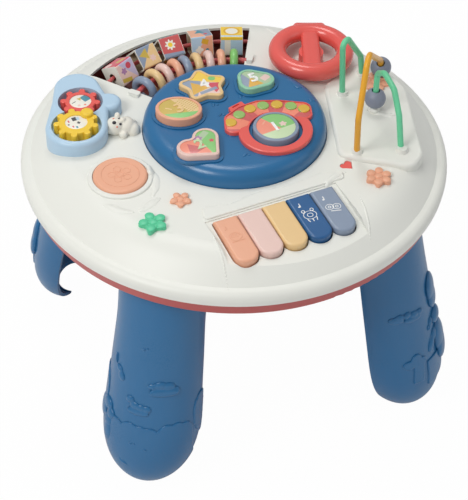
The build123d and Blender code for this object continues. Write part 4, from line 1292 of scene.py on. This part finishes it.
@dataclass
class PianoKeys:
    """Five keys with small line pictures on them."""

    shop: Workshop
    colours: tuple[Colour, ...] = (Shade.PEACH, Shade.PINK, Shade.BUTTER, Shade.KEY_BLUE, Shade.SLATE)
    line_rise: float = 0.00035
    line_voxel: float = 0.0003

    def build(self) -> None:
        """Colour each key and raise its picture."""
        white_line = Plastic("key_line_print", Shade.WHITE, 0.4).make()
        for number, colour in enumerate(self.colours, start=1):
            node = f"key_{number}"
            finish = self.shop.mould(node, colour, 0.3, 0.15)
            stamps = KEY_PICTURES.get(node)
            if stamps:
                mark = self.shop.emboss(node, node + "_picture", stamps, Sight(), self.line_rise,
                                        self.line_voxel, 1)
                shown = finish if node == "key_1" else white_line
                self.shop.settle(mark, node, shown)


@dataclass
class DrumPad:
    """The round drum, its colour and a raised flower on it."""

    shop: Workshop
    finish: Plastic = Plastic("drum_plastic", Shade.PEACH, 0.4)
    petals: int = 5
    petal_reach: float = 7.5
    petal_half: float = 3.4
    first_turn: float = 18.0
    outer_half: float = 17.0
    inner_half: float = 3.0
    line_rise: float = 0.0004
    line_voxel: float = 0.0004

    def build(self) -> None:
        """Colour the drum and raise the flower."""
        finish = self.finish.make()
        self.shop.coat(finish, "drum_pad")
        low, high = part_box("drum_pad")
        x, y = (low.x + high.x) / 2 / MM, (low.y + high.y) / 2 / MM
        stamps = [Stamp(RING, x, y, half, half) for half in (self.outer_half, self.inner_half)]
        for number in range(self.petals):
            a = math.radians(self.first_turn + 360.0 * number / self.petals)
            petal_x, petal_y = x + self.petal_reach * math.cos(a), y + self.petal_reach * math.sin(a)
            stamps.append(Stamp(RING, petal_x, petal_y, self.petal_half, self.petal_half))
        flower = self.shop.emboss("drum_pad", "drum_flower", stamps, Sight(), self.line_rise,
                                  self.line_voxel, 1)
        self.shop.settle(flower, "drum_pad", finish)


@dataclass
class ToothedDials:
    """Two toothed dials with picture windows."""

    shop: Workshop
    red_window: Place = (-0.1223, 0.0789, 0.2981)
    yellow_window: Place = (-0.1381, 0.0472, 0.3016)
    inlay: float = 0.0005

    def build(self) -> None:
        """Colour both dials and lay their pictures in."""
        red = picture(Shade.CREAM, (BAR, 6, 3, (3.6, 4.2), Shade.TEAL, 20),
                      (TRIANGLE, 0.5, 4, (1.4,), Shade.OLIVE, 60),
                      (BAR, -6, 1, (2.2, 0.4), Shade.INK, 20), (BLOOM, -3, -5, (1.5, 5), Shade.PINK),
                      (DISC, 2.5, -6, (1.2,), Shade.SALMON))
        yellow = picture(Shade.CREAM, (BAR, 0, 5.5, (2.2, 2.6), Shade.INK, 0),
                         (BAR, 3.2, 5, (1.4, 2.2), Shade.SKY, 0), (BLOOM, 2, -1, (1.5, 4), Shade.INK),
                         (BAR, -6, 4, (0.7, 1.6), Shade.CRIMSON, 0),
                         (BAR, -4.5, -4.5, (0.7, 1.3), Shade.CRIMSON, 10),
                         (BAR, -1.5, -6.5, (0.9, 1.4), Shade.TEAL, 0),
                         (DISC, -7.5, -0.5, (0.9,), Shade.INK))
        self._dial("gear_red", Shade.CORAL, red, self.red_window)
        self._dial("gear_yellow", Shade.SUN, yellow, self.yellow_window)

    def _dial(self, node: str, colour: Colour, picture: Picture, window: Place) -> None:
        """Colour one dial and lay its picture in its window.

        Args:
            node: the dial.
            colour: its plastic's colour.
            picture: its print.
            window: middle of the window's floor.
        """
        self.shop.mould(node, colour, 0.32)
        foil = PrintedFoil(node + "_print", picture, window)
        plate = self.shop.skin_of(node, node + "_window", window[2], self.inlay)
        self.shop.settle(plate, node, foil.make(), PLATE_SMOOTH)


@dataclass
class BearCub:
    """A plain white toy bear that lies by the dials."""

    shop: Workshop
    balls: tuple[tuple[Place, float], ...] = (
        ((-0.103, 0.041, 0.291), 0.0088), ((-0.093, 0.039, 0.2888), 0.0093),
        ((-0.088, 0.034, 0.287), 0.0069),
        ((-0.0975, 0.0485, 0.2966), 0.0027), ((-0.096, 0.0385, 0.298), 0.0027),
        ((-0.1093, 0.0385, 0.290), 0.0035), ((-0.099, 0.0305, 0.287), 0.0039),
        ((-0.095, 0.050, 0.287), 0.0039),
        ((-0.0845, 0.042, 0.287), 0.0039),
    )
    ledge: float = 0.2851
    body_voxel: float = 0.0006
    face_voxel: float = 0.00025
    face: tuple[tuple[str, Place, Place], ...] = (
        ("nose", (-0.1050, 0.0373, 0.2984), (0.0019, 0.0019, 0.0014)),
        ("eye_left", (-0.0990, 0.0406, 0.2984), (0.0015, 0.0011, 0.0011)),
        ("eye_right", (-0.0998, 0.0353, 0.2964), (0.0016, 0.0012, 0.0012)),
        ("cheek_left", (-0.1038, 0.0415, 0.2995), (0.0012, 0.0009, 0.0007)),
        ("cheek_right", (-0.1037, 0.0337, 0.2955), (0.0009, 0.0009, 0.0011)),
    )

    def build(self) -> None:
        """Melt the balls into one body and add eyes, nose and cheeks."""
        body = self.shop.blob("bear_body", [(p, (r, r, r)) for p, r in self.balls], self.body_voxel)
        self.shop.edit(body)
        bpy.ops.mesh.bisect(plane_co=(0, 0, self.ledge), plane_no=(0, 0, 1), clear_inner=True,
                            use_fill=True)
        bpy.ops.object.mode_set(mode="OBJECT")
        fur = Plastic("bear_plastic", Shade.CREAM, 0.5, grain=0.00006)
        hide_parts("bear_cub")
        self.shop.settle(body, "bear_cub", fur.make(), PLATE_SMOOTH)
        dark = Plastic("bear_dark", Shade.INK, 0.3).make()
        rosy = Plastic("bear_rosy", Shade.SALMON, 0.5).make()
        for name, place, sizes in self.face:
            spot = self.shop.blob("bear_" + name, [(place, sizes)], self.face_voxel)
            self.shop.settle(spot, "bear_cub", rosy if "cheek" in name else dark, PLATE_SMOOTH)


@dataclass
class PictureBlocks:
    """Five blocks on their curved axle, each side with its own print."""

    shop: Workshop
    radius: float = 0.141
    height: float = 0.282
    angles: tuple[float, ...] = (116.9, 104.1, 92.4, 79.1, 66.2)
    tilts: tuple[float, ...] = (32.0, 47.0, 52.0, 17.0, 8.0)
    outer_half: tuple[float, float] = (10.2, 10.7)
    inner_half: tuple[float, float] = (9.9, 10.9)

    def build(self) -> None:
        """Print each block."""
        top = (
            picture(Shade.CRIMSON, (DISC, 6.5, 4.5, (4,), Shade.PINK),
                    (BAR, -3, -4, (5, 3), Shade.OLIVE, 10)),
            picture(Shade.CREAM, (HALF, 3, 0, (), Shade.SLATE, -60),
                    (BAR, 2, 5, (3, 4), Shade.OLIVE, 15)),
            picture(Shade.TEAL, (DISC, -5, 3, (3.5,), Shade.OCHRE),
                    (BAR, 5, -2, (2, 9), Shade.CREAM, 30)),
            picture(Shade.SLATE, (HALF, 0, 0, (), Shade.PEACH, 70), (TRIANGLE, 0, 2, (3,), Shade.TEAL),
                    (DISC, -5, -5, (2,), Shade.CRIMSON)),
            picture(Shade.SUN, (DISC, 0, 0.5, (6,), Shade.CREAM),
                    (RING, 0, 0.5, (7.4, 0.8), Shade.OCHRE), (HALF, 0, -8.6, (), Shade.SKY)),
        )
        front = (
            picture(Shade.LILAC, (HALF, 0, 2, (), Shade.PINK, 50), (DISC, -4, 5, (3.2,), Shade.CRIMSON),
                    (BLOOM, 3.5, 2, (3, 5), Shade.MAUVE), (BAR, 4, -7, (6, 2), Shade.OLIVE, 12)),
            picture(Shade.SLATE, (HALF, 2, 0, (), Shade.BUTTER, -50),
                    (TRIANGLE, 3, 3, (3.2,), Shade.OLIVE, 30), (BLOOM, -4, -3, (3, 6), Shade.PINK)),
            picture(Shade.ROSE, (BLOOM, 1, 2, (4.6, 8), Shade.CREAM), (DISC, 1, 2, (2.4,), Shade.SUN),
                    (HALF, 0, -6.5, (), Shade.SLATE, 5)),
            picture(Shade.PEACH, (HALF, 0, 3, (), Shade.SKY, 120),
                    (BAR, -3, 5, (3.4, 2.6), Shade.OCHRE, 20), (BLOOM, 3, -3, (3.4, 4), Shade.CREAM),
                    (DISC, -5, -4, (1.8,), Shade.TEAL)),
            picture(Shade.SKY, (BAR, 4, 0, (3, 11), Shade.CREAM, 0), (HALF, 0, 7, (), Shade.SUN, 180)),
        )
        for number, (angle, tilt) in enumerate(zip(self.angles, self.tilts)):
            node = f"block_{number + 1}"
            pictures = (top[number], front[number], top[(number + 2) % 5], front[(number + 3) % 5])
            self.shop.coat(self._printed(node, angle, tilt, pictures), node)

    def _printed(self, node: str, angle: float, tilt: float,
                 pictures: tuple[Picture, Picture, Picture, Picture]) -> bpy.types.Material:
        """Make one block's material: cream shell, a darker beige painted as shade inside the recess, a
        print on each side.

        Args:
            node: the block's name.
            angle: its place round the table in degrees.
            tilt: its turn about the axle in degrees.
            pictures: prints of the upper, front, under and back sides.

        Returns:
            The material.
        """
        a = math.radians(angle)
        origin = (self.radius * math.cos(a), self.radius * math.sin(a), self.height)
        turn = Matrix.Rotation(a, 3, "Z") @ Matrix.Rotation(math.radians(tilt), 3, "Y")
        bench = Bench(node + "_print")
        x, y, z = bench.local(origin, turn.transposed())
        upright = abs(z) > abs(x)
        upper, right = z > 0.0, x > 0.0
        level = bench.mix(upper, pictures[2].colour(bench, y, x), pictures[0].colour(bench, y, x))
        side = bench.mix(right, pictures[1].colour(bench, y, z), pictures[3].colour(bench, y, z))
        shown = bench.mix(upright, side, level)
        outer = (abs(x).most(abs(z)) > self.outer_half[0]) * (abs(y) < self.outer_half[1])
        # Painted shade: the inside of the recess is coloured a darker beige instead of cream.
        inner = (abs(x).most(abs(z)) < self.inner_half[0]) * (abs(y) < self.inner_half[1])
        plain = bench.mix(inner, Shade.CREAM, Shade.RECESS_SHADE_BEIGE)
        colour = bench.mix(outer, plain, shown)
        fine = bench.noise(1500.0)
        bench.finish(colour, 0.3 + fine * 0.12, bench.bump(bench.noise(60.0), 0.0001), Coat_Weight=0.3,
                     Coat_Roughness=0.1)
        return bench.owner


@dataclass
class SlidingRings:
    """Nine rings on the inner rod."""

    shop: Workshop
    colours: tuple[Colour, ...] = (
        *(Shade.SLATE, Shade.BUTTER, Shade.PINK, Shade.PEACH) * 2, Shade.LEAF)

    def build(self) -> None:
        """Colour each ring."""
        for number, colour in enumerate(self.colours, start=1):
            self.shop.mould(f"ring_{number}", colour, 0.3, 0.2)


@dataclass
class Studio:
    """White floor, soft lamps and the photograph's camera."""

    camera_place: Place = (-0.4716, -0.9753, 1.1654)
    looked_at: Place = (0.0016, -0.0008, 0.1279)
    focal_share: float = 1495.0 / 500.0
    roll: float = 0.021
    sensor: float = 36.0
    lamps: tuple[tuple[Place, float, float, Colour], ...] = (
        ((-1.5, -0.5, 1.9), 1.0, 22.5, (1.0, 0.99, 0.96)),
        ((0.1, 0.9, 2.2), 0.9, 12.0, (1.0, 1.0, 0.98)),
        ((1.5, -1.2, 1.2), 1.4, 3.0, (1.0, 1.0, 1.0)),
    )
    lamp_aim: Place = (0.0, 0.0, 0.2)
    world_colour: Colour = (0.96, 0.98, 1.0)
    world_strength: float = 0.43
    floor_size: float = 14.0
    floor_colour: Colour = (0.9, 0.9, 0.9)
    floor_glow: float = 0.98

    def build(self) -> None:
        """Set up floor, lamps, world and camera."""
        self._floor()
        self._lamps()
        self._world()
        self._camera()
        bpy.context.scene.view_settings.view_transform = "Standard"

    def _floor(self) -> None:
        """Lay the pale floor."""
        Workshop.release()
        bpy.ops.mesh.primitive_plane_add(size=self.floor_size, location=(0, 0, -0.0005))
        floor = bpy.context.object
        floor.name = "studio_floor"
        bench = Bench("floor_white")
        matt = bench.node("ShaderNodeBsdfDiffuse", None, {0: (*self.floor_colour, 1.0)})
        bright = bench.node("ShaderNodeEmission", None, {0: WHITE_LIGHT, 1: 1.0})
        self._show(bench, "ShaderNodeOutputMaterial", matt, bright, self.floor_glow)
        floor.data.materials.append(bench.owner)

    @staticmethod
    def _show(bench: Bench, output: str, plain: bpy.types.Node, seen: bpy.types.Node, share: float) -> None:
        """Close a bench with one shader for light and another for the camera.

        Args:
            bench: where the nodes go.
            output: type of the output node.
            plain: shader that the light meets.
            seen: shader that the camera sees.
            share: how much of it the camera sees.
        """
        camera_ray = Signal(bench, bench.node("ShaderNodeLightPath").outputs["Is Camera Ray"])
        first, second = Signal(bench, plain.outputs[0]), Signal(bench, seen.outputs[0])
        mixed = bench.node("ShaderNodeMixShader", None, {0: camera_ray * share, 1: first, 2: second})
        bench.node(output, None, {0: Signal(bench, mixed.outputs[0])})

    def _lamps(self) -> None:
        """Hang the soft lamps, each facing the table."""
        for number, (place, size, power, colour) in enumerate(self.lamps):
            lamp = bpy.data.lights.new(f"lamp_{number}", "AREA")
            lamp.shape, lamp.size, lamp.energy, lamp.color = "DISK", size, power, colour
            holder = placed(lamp.name, lamp)
            holder.location = place
            aim = Vector(self.lamp_aim) - Vector(place)
            holder.rotation_euler = aim.to_track_quat("-Z", "Y").to_euler()

    def _world(self) -> None:
        """Give the surroundings an even light that the camera sees as white."""
        bench = Bench("studio_world", "worlds")
        bpy.context.scene.world = bench.owner
        light = {0: (*self.world_colour, 1.0), 1: self.world_strength}
        soft = bench.node("ShaderNodeBackground", None, light)
        white = bench.node("ShaderNodeBackground", None, {0: WHITE_LIGHT})
        self._show(bench, "ShaderNodeOutputWorld", soft, white, 1.0)

    def _camera(self) -> None:
        """Stand the camera where the photograph was taken."""
        data = bpy.data.cameras.new("photo_camera")
        data.sensor_width = self.sensor
        data.lens = self.sensor * self.focal_share
        camera = placed("photo_camera", data)
        ahead = (Vector(self.looked_at) - Vector(self.camera_place)).normalized()
        right = ahead.cross(Vector((0, 0, 1))).normalized()
        above = right.cross(ahead)
        c, s = math.cos(self.roll), math.sin(self.roll)
        right, above = right * c + above * s, above * c - right * s
        camera.matrix_world = Matrix.Translation(self.camera_place) @ Matrix(
            (right, above, -ahead)).transposed().to_4x4()
        bpy.context.scene.camera = camera


def main() -> None:
    """Build the whole scene round the frame."""
    logging.basicConfig(level=logging.INFO, format="%(name)s: %(message)s")
    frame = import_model()
    shop = Workshop(frame)
    Mouldings(shop).dress()
    for button in button_set(shop):
        button.build()
    for assembly in (Telephone(shop), PianoKeys(shop), DrumPad(shop), ToothedDials(shop), BearCub(shop),
                     PictureBlocks(shop), SlidingRings(shop)):
        assembly.build()
        log.info("%s is built", type(assembly).__name__)
    Studio().build()


if __name__ == "__main__":
    main()
